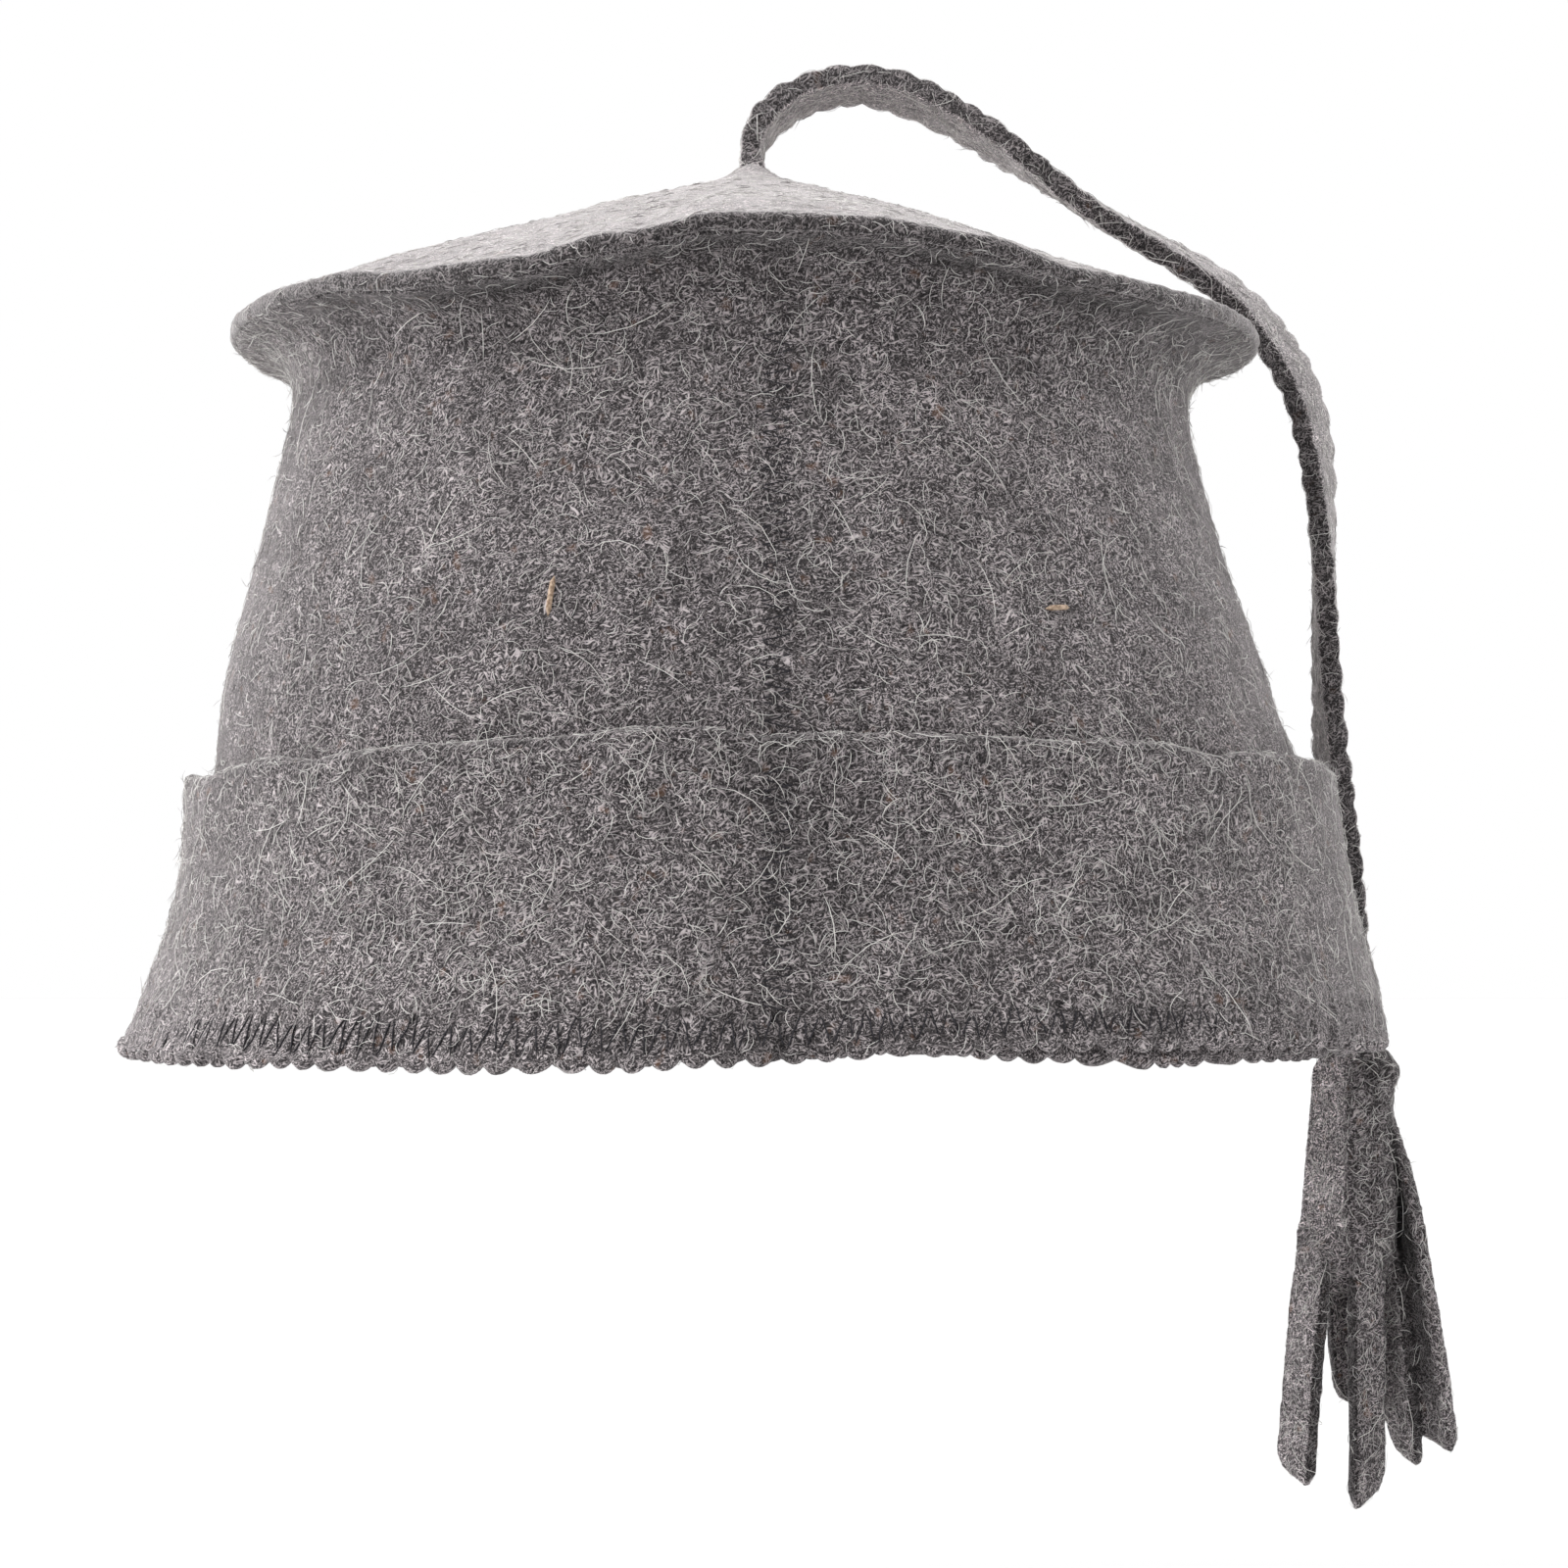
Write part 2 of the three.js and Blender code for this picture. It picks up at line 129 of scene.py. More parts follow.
def felt_rings(rows, square, thickness, inner_step, flush=False):
    """Rings of a felt wall: up its outside, over its rounded upper edge, down its inside and round its
    lower edge. Rows are height, half width and lean, square is the direction square to the felt there.
    A flush upper edge is rounded on its outer corner only. Returns the rings, the height of the row each
    comes from, and its side of the felt."""
    along = np.r_[0, np.cumsum(np.linalg.norm(np.diff(rows[:, :2], axis=0), axis=1))]
    last, low, high = len(rows) - 1, thickness[0] / 2, thickness[-1] / 2
    clear = [i for i in range(last + 1) if along[i] > low + 0.3 and along[last] - along[i] > high + 0.3]
    turns = np.linspace(0, math.pi, EDGE_RINGS)
    spots = [(i, 0, 0, OUTSIDE) for i in clear]
    if flush:
        corner = CORNER * thickness[-1]
        spots += [(last, corner * (1 - np.cos(a)), corner * (np.sin(a) - 1), UPPER_EDGE) for a in turns / 2]
        spots += [(last, thickness[-1], 0, UPPER_EDGE)]
    else:
        spots += [(last, high - high * np.cos(a), high * np.sin(a) - high, UPPER_EDGE) for a in turns]
    spots += [(i, thickness[i], 0, INSIDE) for i in clear[::-inner_step]]
    spots += [(0, low - low * np.cos(a), low - low * np.sin(a), LOWER_EDGE) for a in turns[::-1]]
    rings = []
    for i, inset, onward, side in spots:
        height, half, lean = rows[i][:3]
        out, up = square[i]
        shift = -inset * out - onward * up
        rings.append((half + shift, half * DEPTH_RATIO + shift, lean, height - inset * up + onward * out))
    return np.array(rings), np.array([rows[s[0]][0] for s in spots]), np.array([s[3] for s in spots])


def mesh_points(piece):
    """The places of a piece's points, a row each."""
    points = np.empty(len(piece.data.vertices) * 3)
    piece.data.vertices.foreach_get("co", points)
    return points.reshape(-1, 3)


def place_points(piece, points):
    """Puts a piece's points in new places, a row each."""
    piece.data.vertices.foreach_set("co", points.ravel())
    piece.data.update()


def finish_faces():
    """Turns all faces of the piece in edit mode outward, leaves edit mode and shades the piece smooth."""
    bpy.ops.mesh.select_all(action="SELECT")
    bpy.ops.mesh.normals_make_consistent(inside=False)
    bpy.ops.object.mode_set(mode="OBJECT")
    bpy.ops.object.shade_smooth()


def select_points(piece, first, end):
    """Selects only a run of points of the piece in edit mode."""
    bpy.ops.mesh.select_all(action="DESELECT")
    draft = bmesh.from_edit_mesh(piece.data)
    draft.verts.ensure_lookup_table()
    for point in draft.verts[first:end]:
        point.select = True
    draft.select_flush(True)


OVAL_ANGLES = np.linspace(-math.pi, math.pi, 2881)
OVAL_STEPS = np.hypot(np.diff(np.cos(OVAL_ANGLES)), DEPTH_RATIO * np.diff(np.sin(OVAL_ANGLES)))
OVAL_REACH = np.r_[0, np.cumsum(OVAL_STEPS)] / OVAL_STEPS.sum()


def felt_shell(name, rings, counts, capped=False):
    """A felt piece drawn as a circle that is extruded from ring to ring. A ring is its half width, half
    depth, lean and height in millimetres, and its count of points: where the count changes, a new circle
    is bridged on. The ends are joined to each other, or capped. Returns the piece, and the ring number
    and the angle round the oval of each of its points."""
    bpy.ops.object.select_all(action="DESELECT")
    bpy.ops.mesh.primitive_circle_add(vertices=counts[0], radius=1)
    shell = bpy.context.object
    shell.name = shell.data.name = name
    bpy.ops.object.mode_set(mode="EDIT")
    bpy.ops.mesh.select_mode(type="VERT")
    bpy.ops.mesh.select_all(action="SELECT")
    circle = np.array((1, 1, 0, 0), float)
    last, starts = circle, np.r_[0, np.cumsum(counts)]
    for number, ring in enumerate(np.array(rings) * MM):
        bridged = number and counts[number] != counts[number - 1]
        if bridged:
            bpy.ops.mesh.primitive_circle_add(vertices=counts[number], radius=1)
            last = circle
        elif number:
            bpy.ops.mesh.extrude_edges_move()
        bpy.ops.transform.resize(value=(ring[0] / last[0], ring[1] / last[1], 1),
                                 center_override=(last[2], 0, last[3]))
        bpy.ops.transform.translate(value=(ring[2] - last[2], 0, ring[3] - last[3]))
        if bridged:
            select_points(shell, starts[number - 1], starts[number + 1])
            bpy.ops.mesh.bridge_edge_loops()
            select_points(shell, starts[number], starts[number + 1])
        last = ring
    bpy.ops.mesh.select_all(action="DESELECT")
    bpy.ops.mesh.select_mode(type="EDGE")
    bpy.ops.mesh.select_non_manifold()
    if capped:
        bpy.ops.mesh.edge_face_add()
    else:
        bpy.ops.mesh.bridge_edge_loops()
    finish_faces()
    points = mesh_points(shell)
    number = np.repeat(np.arange(len(rings)), counts)
    half, deep, lean = (np.array(rings)[number, i] * MM for i in range(3))
    turn = np.arctan2(points[:, 1] / deep, (points[:, 0] - lean) / half)
    angle = np.interp((turn / math.pi + 1) / 2, OVAL_REACH, OVAL_ANGLES)
    points[:, 0] = lean + half * np.cos(angle)
    points[:, 1] = deep * np.sin(angle)
    place_points(shell, points)
    return shell, number, angle


def scallop_phase(angle, count, seed, wander=0.22):
    """Where an angle lies among the scallops of a sewn edge: a whole number at each notch."""
    random = np.random.default_rng(seed)
    reach = np.interp((angle + math.pi) % (2 * math.pi) - math.pi, OVAL_ANGLES, OVAL_REACH)
    wobble = sum(wander * random.normal() * np.sin(2 * math.pi * (turns * reach + random.random()))
                 for turns in (4, 9, 15, 23, 37))
    return count * reach + wobble


def scallop_bump(phase):
    """How full a scalloped edge is: 0 in the notches, 1 on the bumps."""
    return np.abs(np.sin(math.pi * phase))**0.7


def move_points(piece, angle, outward, upward):
    """Moves each point of an oval piece outward, square to the oval, and upward, in millimetres."""
    points = mesh_points(piece)
    square = np.c_[np.cos(angle) * DEPTH_RATIO, np.sin(angle)]
    square /= np.linalg.norm(square, axis=1)[:, None]
    points[:, :2] += square * np.asarray(outward)[:, None] * MM
    points[:, 2] += upward * MM
    place_points(piece, points)


def press_lumps(piece, size, depth):
    """Presses the felt's soft unevenness into a piece: lumps of a size and depth in millimetres."""
    pattern = bpy.data.textures.new("felt_lumps", "CLOUDS")
    pattern.noise_scale = size * MM
    pattern.noise_depth = 1
    uneven = piece.modifiers.new("felt_lumps", "DISPLACE")
    uneven.texture = pattern
    uneven.texture_coords = "LOCAL"
    uneven.strength = depth * MM
    bpy.context.view_layer.objects.active = piece
    bpy.ops.object.modifier_apply(modifier="felt_lumps")


def hollow(distance, width):
    """A soft hollow, 1 at no distance and fading over a width."""
    return np.exp(-0.5 * (distance / width)**2)


SEAM_X = 5.2


def seam_pull(piece):
    """How near each point of a piece is to the upright seam in front: the joint, and a broad band about it
    that is darkened as painted shade.
    """
    points = mesh_points(piece) / MM
    front = points[:, 1] < 0
    return front * hollow(points[:, 0] - SEAM_X, 1.1), front * hollow(points[:, 0] - SEAM_X, 9.0)


def keep_shade(piece, shade):
    """Stores how much darker each point of a piece is as painted shade, or below 0 how much lighter as
    painted light.
    """
    piece.data.attributes.new("shade", "FLOAT", "POINT").data.foreach_set("value", shade.astype(np.float32))


behind_cuff = np.c_[CUFF_ROWS[:, 0], CUFF_ROWS[:, 1] - FELT - CUFF_ROWS[:, 3], CUFF_ROWS[:, 2]]
wall_line = np.vstack([
    smooth_line(behind_cuff[:3], 1.6, 2)[:-1],
    smooth_line(behind_cuff[2:], 8.0, 2)[:-1],
    smooth_line(np.vstack([behind_cuff[-1], WALL_ROWS]), 2.0, 2),
])
slope = np.gradient(wall_line[:, :2], axis=0)
wall_square = np.c_[slope[:, 0], -slope[:, 1]] / np.linalg.norm(slope, axis=1)[:, None]
wall_square[wall_line[:, 0] <= CUFF_ROWS[-1, 0]] = (1, 0)
wall_thickness = FELT + (RIM_FELT - FELT) * ease(wall_line[:, 0], RIM_WAVE_FOOT, 136)
rings, wall_height, wall_side = felt_rings(wall_line, wall_square, wall_thickness, 3, flush=True)
counts = np.select([(wall_side == LOWER_EDGE) | (wall_side == UPPER_EDGE), wall_side == INSIDE,
                    wall_height < 9, wall_height < CUFF_ROWS[-1, 0], wall_height < 124],
                   [FINE, COARSE, FINE, COARSE, MEDIUM], FINE)
wall, ring, angle = felt_shell("wall_felt", rings, [int(count) for count in counts])

WALL_SCALLOPS, RIM_SCALLOPS = 126, 108
HEM_SEED, RIM_SEED = 3, 5
NECK_HEIGHT, HIDDEN_HEIGHT, CREASE_HALF = 125, 45, 97.2
height, side = wall_height[ring], wall_side[ring]
hem = 1 - ease(height, 0, HEM_WAVE_HEIGHT)
rim = ease(height, RIM_WAVE_FOOT, WALL_ROWS[-1, 0])
hem_bump = scallop_bump(scallop_phase(angle, WALL_SCALLOPS, HEM_SEED))
rim_bump = scallop_bump(scallop_phase(angle, RIM_SCALLOPS, RIM_SEED))
at_hem = 1 - ease(height, 0, 5)
at_rim = ease(rings[ring, 0], 98, 102) * (side != INSIDE)
joint, seam_band_shade = seam_pull(wall)
shown = (side != INSIDE) * ease(height, 50, 56) * (1 - rim)
# In front the flange is in its own painted shade, and a crease is pressed in where it is sewn to the top,
# with a painted shadow along it.
facing = ease(-np.sin(angle), 0.2, 0.75)
flange = ease(height, 124, 133) * (side != INSIDE)
degrees = np.degrees(angle)
band = flange * ease(rings[ring, 0], CREASE_HALF, CREASE_HALF + 2)
creased = facing * np.maximum(0.4, np.maximum(hollow(degrees + 112, 12), hollow(degrees + 52, 22)))
crease = creased * flange * hollow(rings[ring, 0] - CREASE_HALF, 1.4) * (side == OUTSIDE)
strap_end, far_end = ease(np.cos(angle), 0.75, 0.95), ease(-np.cos(angle), 0.75, 0.95)
move_points(wall, angle,
            0.12 * at_rim * (rim_bump - 0.8) + 0.3 * at_hem * (hem_bump - 0.6) - 0.4 * joint * shown,
            hem * edge_lift(WALL_HEM, angle) + rim * edge_lift(RIM, angle)
            - 1.5 * at_hem * (hem_bump - 0.55) - 0.1 * at_rim * (rim_bump - 0.6) + 0.5 * crease)
# Painted shade also darkens the neck under the flange on the far side, the flange by the strap and the band
# below the rim in front; painted light lightens the flange at the far end. The felt is darker along the
# seam's joint.
under_flange_shade = hollow(height - NECK_HEIGHT, 6) * ease(-np.cos(angle), 0.55, 0.85)
keep_shade(wall, 0.3 * joint * shown + 0.12 * seam_band_shade + 0.8 * crease + 0.4 * under_flange_shade
           + flange * (0.25 * facing + 0.34 * strap_end - 0.5 * far_end) + 0.2 * band * facing)
wall_weight = np.select([side == INSIDE, height < HIDDEN_HEIGHT], [0.12, 0.0],
                        1.0 + 2.5 * ease(height, 120, 130) * (1 - facing))
press_lumps(wall, size=16, depth=0.9)
press_lumps(wall, size=5, depth=0.4)
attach(wall, "root")
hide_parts("crown_wall")


def node(tree, kind, inputs, **settings):
    """Adds a shader node, sets it, and links or fills its inputs."""
    made = tree.nodes.new(kind)
    for name, value in settings.items():
        setattr(made, name, value)
    for name, value in inputs.items():
        if isinstance(value, bpy.types.NodeSocket):
            tree.links.new(value, made.inputs[name])
        else:
            made.inputs[name].default_value = value
    return made


def maths(tree, operation, *values):
    """The result of one Math node."""
    return node(tree, "ShaderNodeMath", dict(enumerate(values)), operation=operation).outputs[0]


def between(tree, value, low, high, to_low=0.0, to_high=1.0):
    """A value between low and high moved softly onto another range."""
    inputs = {"Value": value, "From Min": low, "From Max": high, "To Min": to_low, "To Max": to_high}
    return node(tree, "ShaderNodeMapRange", inputs, interpolation_type="SMOOTHSTEP").outputs[0]


def blended(tree, share, first, second):
    """Two colours blended by a share."""
    return node(tree, "ShaderNodeMix", {0: share, 6: first, 7: second}, data_type="RGBA").outputs[2]


def wool_noise(tree, place, size, detail=1.0):
    """A noise of a size in millimetres."""
    return node(tree, "ShaderNodeTexNoise", {"Vector": place, "Scale": 1 / (size * MM), "Detail": detail})


def channels(tree, colour):
    """The three values of a colour."""
    return node(tree, "ShaderNodeSeparateColor", {"Color": colour}).outputs


# The ways that layers of short fibres lie in the mat, as turns of an upright fibre in radians.
FIBRE_LAYS = [
    (0.0, 1.5, 0.0), (0.2, 0.1, 0.0), (0.0, 0.8, 0.4), (0.1, -0.8, -0.4), (1.3, 0.2, 0.5), (0.6, 1.2, 0.9),
]
LAY_SHIFT = (0.031, 0.017, 0.023)
FIBRE_WIDTH, FIBRE_LENGTH = 0.29, 2.4
CURL_SIZE, CURL = 2.6, 2.0
WARM_WOOL = (0.2, 0.1, 0.055, 1)


def matted_wool():
    """The felt's surface as a node group: short curled pale fibres lying every way over dark wool, in light
    and dark patches, with a few warm tufts. Shade darkens it, mostly as painted shade in creases, notches,
    holes and on faces turned from the light, and below 0 lightens it as painted light."""
    group = bpy.data.node_groups.new("matted_wool", "ShaderNodeTree")
    sockets = [("Place", "INPUT", "Vector"), ("Pale", "INPUT", "Color"), ("Dark", "INPUT", "Color"),
               ("Shade", "INPUT", "Float"), ("Mottle", "INPUT", "Float"), ("Colour", "OUTPUT", "Color"),
               ("Height", "OUTPUT", "Float")]
    for name, way, kind in sockets:
        group.interface.new_socket(name=name, in_out=way, socket_type="NodeSocket" + kind)
    given = group.nodes.new("NodeGroupInput").outputs
    place = given["Place"]
    swirl = wool_noise(group, place, CURL_SIZE, 0.0).outputs["Color"]
    curled = node(group, "ShaderNodeVectorMath", {0: swirl, 1: (CURL * MM,) * 3, 2: place},
                  operation="MULTIPLY_ADD").outputs[0]
    tufts = channels(group, wool_noise(group, place, 3.4, 2.0).outputs["Color"])
    mat = None
    for number, lay in enumerate(FIBRE_LAYS):
        inputs = {"Vector": curled, "Rotation": lay, "Location": [shift * number for shift in LAY_SHIFT],
                  "Scale": (FIBRE_WIDTH * MM, FIBRE_WIDTH * MM, FIBRE_LENGTH * MM)}
        turned = node(group, "ShaderNodeMapping", inputs, vector_type="TEXTURE").outputs[0]
        field = node(group, "ShaderNodeTexNoise", {"Vector": turned, "Scale": 1.0, "Detail": 0.0}).outputs[0]
        fibre = maths(group, "MULTIPLY", between(group, field, 0.64, 0.8),
                      between(group, tufts[number % 3], 0.3, 0.65, 0.5, 1.0))
        mat = fibre if mat is None else maths(group, "MAXIMUM", mat, fibre)
    grain = wool_noise(group, place, 0.33).outputs[0]
    cover = maths(group, "MULTIPLY_ADD", between(group, grain, 0.3, 0.75), 0.16, mat)
    patch = wool_noise(group, place, 10.0, 2.0).outputs[0]
    colour = blended(group, cover, given["Dark"], given["Pale"])
    colour = blended(group, between(group, tufts[1], 0.64, 0.76, 0.0, 0.35), colour, WARM_WOOL)
    uneven = between(group, patch, 0.3, 0.7, -0.18, 0.18)
    light = maths(group, "MULTIPLY", maths(group, "MULTIPLY_ADD", uneven, given["Mottle"], 1.0),
                  maths(group, "MULTIPLY_ADD", given["Shade"], -0.75, 1.0))
    colour = node(group, "ShaderNodeVectorMath", {0: colour, 1: light}, operation="MULTIPLY").outputs[0]
    out = group.nodes.new("NodeGroupOutput").inputs
    group.links.new(colour, out["Colour"])
    group.links.new(cover, out["Height"])
    return group


MATTED_WOOL = matted_wool()


def new_material(name):
    """A material with an empty node tree, and that tree."""
    material = bpy.data.materials.new(name)
    material.use_nodes = True
    material.node_tree.nodes.clear()
    return material, material.node_tree


def add_skin(tree, inputs):
    """Ends a material's tree in one surface with these inputs."""
    skin = node(tree, "ShaderNodeBsdfPrincipled", inputs)
    out = tree.nodes.new("ShaderNodeOutputMaterial")
    tree.links.new(skin.outputs[0], out.inputs["Surface"])


def felt_material(name, pale, dark, sheen, mottle=1.0):
    """Grey wool felt with its own values."""
    material, tree = new_material(name)
    place = tree.nodes.new("ShaderNodeTexCoord").outputs["Object"]
    shade = node(tree, "ShaderNodeAttribute", {}, attribute_name="shade").outputs["Fac"]
    inputs = {"Place": place, "Shade": shade, "Pale": pale, "Dark": dark, "Mottle": mottle}
    wool = node(tree, "ShaderNodeGroup", inputs, node_tree=MATTED_WOOL).outputs
    bump = node(tree, "ShaderNodeBump", {"Height": wool["Height"], "Strength": 0.6, "Distance": 0.0003})
    add_skin(tree, {"Base Color": wool["Colour"], "Normal": bump.outputs[0], "Roughness": 0.95,
                    "Specular IOR Level": 0.1, "Sheen Weight": sheen, "Sheen Roughness": 0.45,
                    "Sheen Tint": (1.0, 0.96, 0.96, 1)})
    return material


GREY_FELT = felt_material("grey_felt", (0.545, 0.491, 0.5, 1), (0.009, 0.008, 0.009, 1), sheen=0.35)
wall.data.materials.append(GREY_FELT)


def strands(name, lines, radius, square, sides=3):
    """One mesh of many fine strands, pointed at both ends. Lines is strand by point by axis, and square is
    a direction that is not along each strand. Returns the piece and its points for each strand."""
    count, long = lines.shape[:2]
    along = np.gradient(lines, axis=1)
    side = np.cross(along, square[:, None, :])
    side /= np.linalg.norm(side, axis=2)[..., None] + 1e-12
    up = np.cross(side, along)
    up /= np.linalg.norm(up, axis=2)[..., None] + 1e-12
    turns = 2 * math.pi * np.arange(sides) / sides
    sideways = side[:, 1:-1, None, :] * np.cos(turns)[:, None]
    upward = up[:, 1:-1, None, :] * np.sin(turns)[:, None]
    rings = lines[:, 1:-1, None, :] + np.asarray(radius)[:, None, None, None] * (sideways + upward)
    points = np.concatenate([lines[:, :1], rings.reshape(count, -1, 3), lines[:, -1:]], axis=1)
    each = points.shape[1]
    faces = []
    for s in range(sides):
        n = (s + 1) % sides
        faces.append((0, 1 + s, 1 + n))
        for r in range(long - 3):
            a, b = 1 + r * sides, 1 + (r + 1) * sides
            faces += [(a + s, b + s, b + n), (a + s, b + n, a + n)]
        faces.append((each - 1, each - 1 - sides + n, each - 1 - sides + s))
    faces = (np.array(faces)[None] + (np.arange(count) * each)[:, None, None]).reshape(-1, 3)
    mesh = bpy.data.meshes.new(name)
    mesh.vertices.add(count * each)
    mesh.vertices.foreach_set("co", points.ravel())
    mesh.loops.add(faces.size)
    mesh.loops.foreach_set("vertex_index", faces.ravel().astype(np.int32))
    mesh.polygons.add(len(faces))
    mesh.polygons.foreach_set("loop_start", np.arange(0, faces.size, 3, dtype=np.int32))
    mesh.polygons.foreach_set("use_smooth", np.ones(len(faces), bool))
    mesh.update(calc_edges=True)
    piece = bpy.data.objects.new(name, mesh)
    bpy.context.collection.objects.link(piece)
    return piece, each


HAIR_POINTS = 5


def surface(piece):
    """A tree for finding the nearest place on a piece's surface."""
    mesh = piece.data
    mesh.calc_loop_triangles()
    corners = np.empty(len(mesh.loop_triangles) * 3, np.int32)
    mesh.loop_triangles.foreach_get("vertices", corners)
    corners = corners.reshape(-1, 3)
    points = mesh_points(piece)
    return BVHTree.FromPolygons(points.tolist(), corners.tolist()), points, corners


def nearest_on(tree, places):
    """The nearest places on a surface, and the directions square to it there."""
    found = [tree.find_nearest(spot)[:2] for spot in places.tolist()]
    return [np.array([tuple(vector) for vector in vectors]) for vectors in zip(*found)]


def hair_lines(piece, count, random, length, curl, weight):
    """Curled lines that lie on a piece's surface, begun at random places on it. Lengths and curl radii are
    ranges in millimetres. Returns their points and the surface's directions there."""
    tree, points, corners = surface(piece)
    a, b, c = (points[corners[:, i]] for i in range(3))
    chance = np.linalg.norm(np.cross(b - a, c - a), axis=1) * weight[corners].mean(axis=1)
    pick = random.choice(len(corners), count, p=chance / chance.sum())
    u, v = random.random((2, count, 1))
    u, v = np.where(u + v > 1, 1 - u, u), np.where(u + v > 1, 1 - v, v)
    place = a[pick] + u * (b[pick] - a[pick]) + v * (c[pick] - a[pick])
    square = np.cross(b[pick] - a[pick], c[pick] - a[pick])
    square /= np.linalg.norm(square, axis=1)[:, None]
    ahead = np.cross(square, random.normal(size=(count, 3)))
    ahead /= np.linalg.norm(ahead, axis=1)[:, None]
    step = random.uniform(*length, count) * MM / (HAIR_POINTS - 1)
    bend = step / (random.uniform(*curl, count) * MM) * random.choice((-1, 1), count)
    lines, squares = [place], [square]
    for _ in range(HAIR_POINTS - 1):
        place, square = nearest_on(tree, place + ahead * step[:, None])
        ahead = ahead - square * np.sum(ahead * square, axis=1)[:, None]
        ahead = ahead * np.cos(bend)[:, None] + np.cross(square, ahead) * np.sin(bend)[:, None]
        ahead /= np.linalg.norm(ahead, axis=1)[:, None]
        lines.append(place)
        squares.append(square)
    return np.stack(lines, axis=1), np.stack(squares, axis=1)


def wool_hair():
    """Single wool hairs, from dark grey to white by each hair's tone."""
    material, tree = new_material("loose_wool")
    tone = node(tree, "ShaderNodeAttribute", {}, attribute_name="tone").outputs["Fac"]
    shades = node(tree, "ShaderNodeValToRGB", {"Fac": tone})
    shades.color_ramp.elements[0].color = (0.035, 0.032, 0.035, 1)
    shades.color_ramp.elements[1].color = (0.85, 0.83, 0.8, 1)
    middle = shades.color_ramp.elements.new(0.6)
    middle.color = (0.3, 0.28, 0.28, 1)
    add_skin(tree, {"Base Color": shades.outputs["Color"], "Roughness": 0.6, "Specular IOR Level": 0.25,
                    "Sheen Weight": 0.2})
    return material


LOOSE_WOOL = wool_hair()


def loose_hairs(name, piece, count, seed, weight, free_share=0.1, long_share=0.03, rise=1.0,
                length=(2.5, 6.5)):
    """The loose fibres on a felt piece: most lie curled on it, some stand off by one end, and a few are
    long and white. Weight is how many grow at each point of the piece, and length is in millimetres."""
    random = np.random.default_rng(seed)
    few = round(count * long_share)
    short, short_square = hair_lines(piece, count - few, random, length, (1.2, 6), weight)
    long, long_square = hair_lines(piece, few, random, (7, 20), (6, 30), weight)
    lines = np.concatenate([short, long])
    square = np.concatenate([short_square, long_square])
    share = np.linspace(0, 1, HAIR_POINTS)
    arch = random.uniform(0.12, 0.6, count)[:, None] * np.sin(math.pi * share)[None] - 0.04
    free = random.uniform(0.6, 2.4, count)[:, None] * share[None]**1.4 - 0.04
    lift = np.where((random.random(count) < free_share)[:, None], free, arch)
    lines = lines + square * lift[..., None] * rise * MM
    radius = np.r_[random.uniform(0.04, 0.078, count - few), random.uniform(0.06, 0.085, few)] * MM
    hairs, each = strands(name, lines, radius, square[:, 0])
    tone = np.r_[np.clip(random.normal(0.86, 0.18, count - few), 0.05, 0.95), random.uniform(0.92, 1.0, few)]
    hairs.data.attributes.new("tone", "FLOAT", "POINT").data.foreach_set(
        "value", np.repeat(tone, each).astype(np.float32))
    hairs.data.materials.append(LOOSE_WOOL)
    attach(hairs, "root")
    return hairs


loose_hairs("wall_hairs", wall, count=10800, seed=11, weight=wall_weight)

# Crown top. An oval disc of the same felt, blocked to a low point in the middle. Its thinned edge lies on
# the wall's flange and is sewn to it, so that the two read as one thick edge. It rises round the strap.
TOP_ROWS = np.array([
    # reach from the middle to the rim, rise
    (0.015, 0.995), (0.05, 0.985), (0.16, 0.885), (0.35, 0.685), (0.55, 0.465), (0.75, 0.245),
    (0.9, 0.085), (0.97, 0.016), (1.0, 0.0),
])
TOP_HALF, TOP_FOOT, TOP_RISE, TOP_LEAN = 103.0, 140.2, 32.0, -1.4
PEAK_FELT = 3.18
RIM_EDGE = [
    # half width and height of the sewn edge, from under the flange to the upper corner
    (97.5, 139.3), (101.0, 138.75), (102.5, 138.5), (103.05, 138.85), (103.25, 139.6), (103.25, 140.6),
    (103.0, 141.3), (102.55, 141.7), (101.9, 141.9),
]

top_line = smooth_line(TOP_ROWS * (TOP_HALF, TOP_RISE), 2.2, 2)
reach = top_line[:, 0] / TOP_HALF
thickness = PEAK_FELT + (RIM_FELT - PEAK_FELT) * ease(reach, 0.8, 1)
under = TOP_FOOT + top_line[:, 1]
over = under + thickness
spots = [(half, half * DEPTH_RATIO, low) for half, low in zip(top_line[::3, 0], under[::3]) if half < 96]
inner_end = len(spots)
spots += [(half, half - TOP_HALF + TOP_HALF * DEPTH_RATIO, height) for half, height in RIM_EDGE]
spots += [(half, half * DEPTH_RATIO, high) for half, high in zip(top_line[::-1, 0], over[::-1])
          if half < RIM_EDGE[-1][0] - 0.8]
rings = np.array([(half, deep, TOP_LEAN * half / TOP_HALF, height) for half, deep, height in spots])
reach = rings[:, 0] / TOP_HALF
counts = np.select([reach > 0.8, reach > 0.5, reach > 0.2], [FINE, MEDIUM, COARSE], 64)
counts[:inner_end] = np.minimum(counts[:inner_end], COARSE)
top, ring, angle = felt_shell("top_felt", rings, [int(count) for count in counts], capped=True)
rim_bump = scallop_bump(scallop_phase(angle, RIM_SCALLOPS, RIM_SEED))
above = ring > inner_end + 3
at_rim = ease(rings[ring, 0], 99, 102.0)
dip = 1.5 * hollow(reach[ring] - 0.76, 0.12) * hollow(np.degrees(angle) + 40, 20)
across, back = mesh_points(top)[:, :2].T / MM
foot = 3.6 * hollow(across, 2.6) * hollow(back, 8.5)
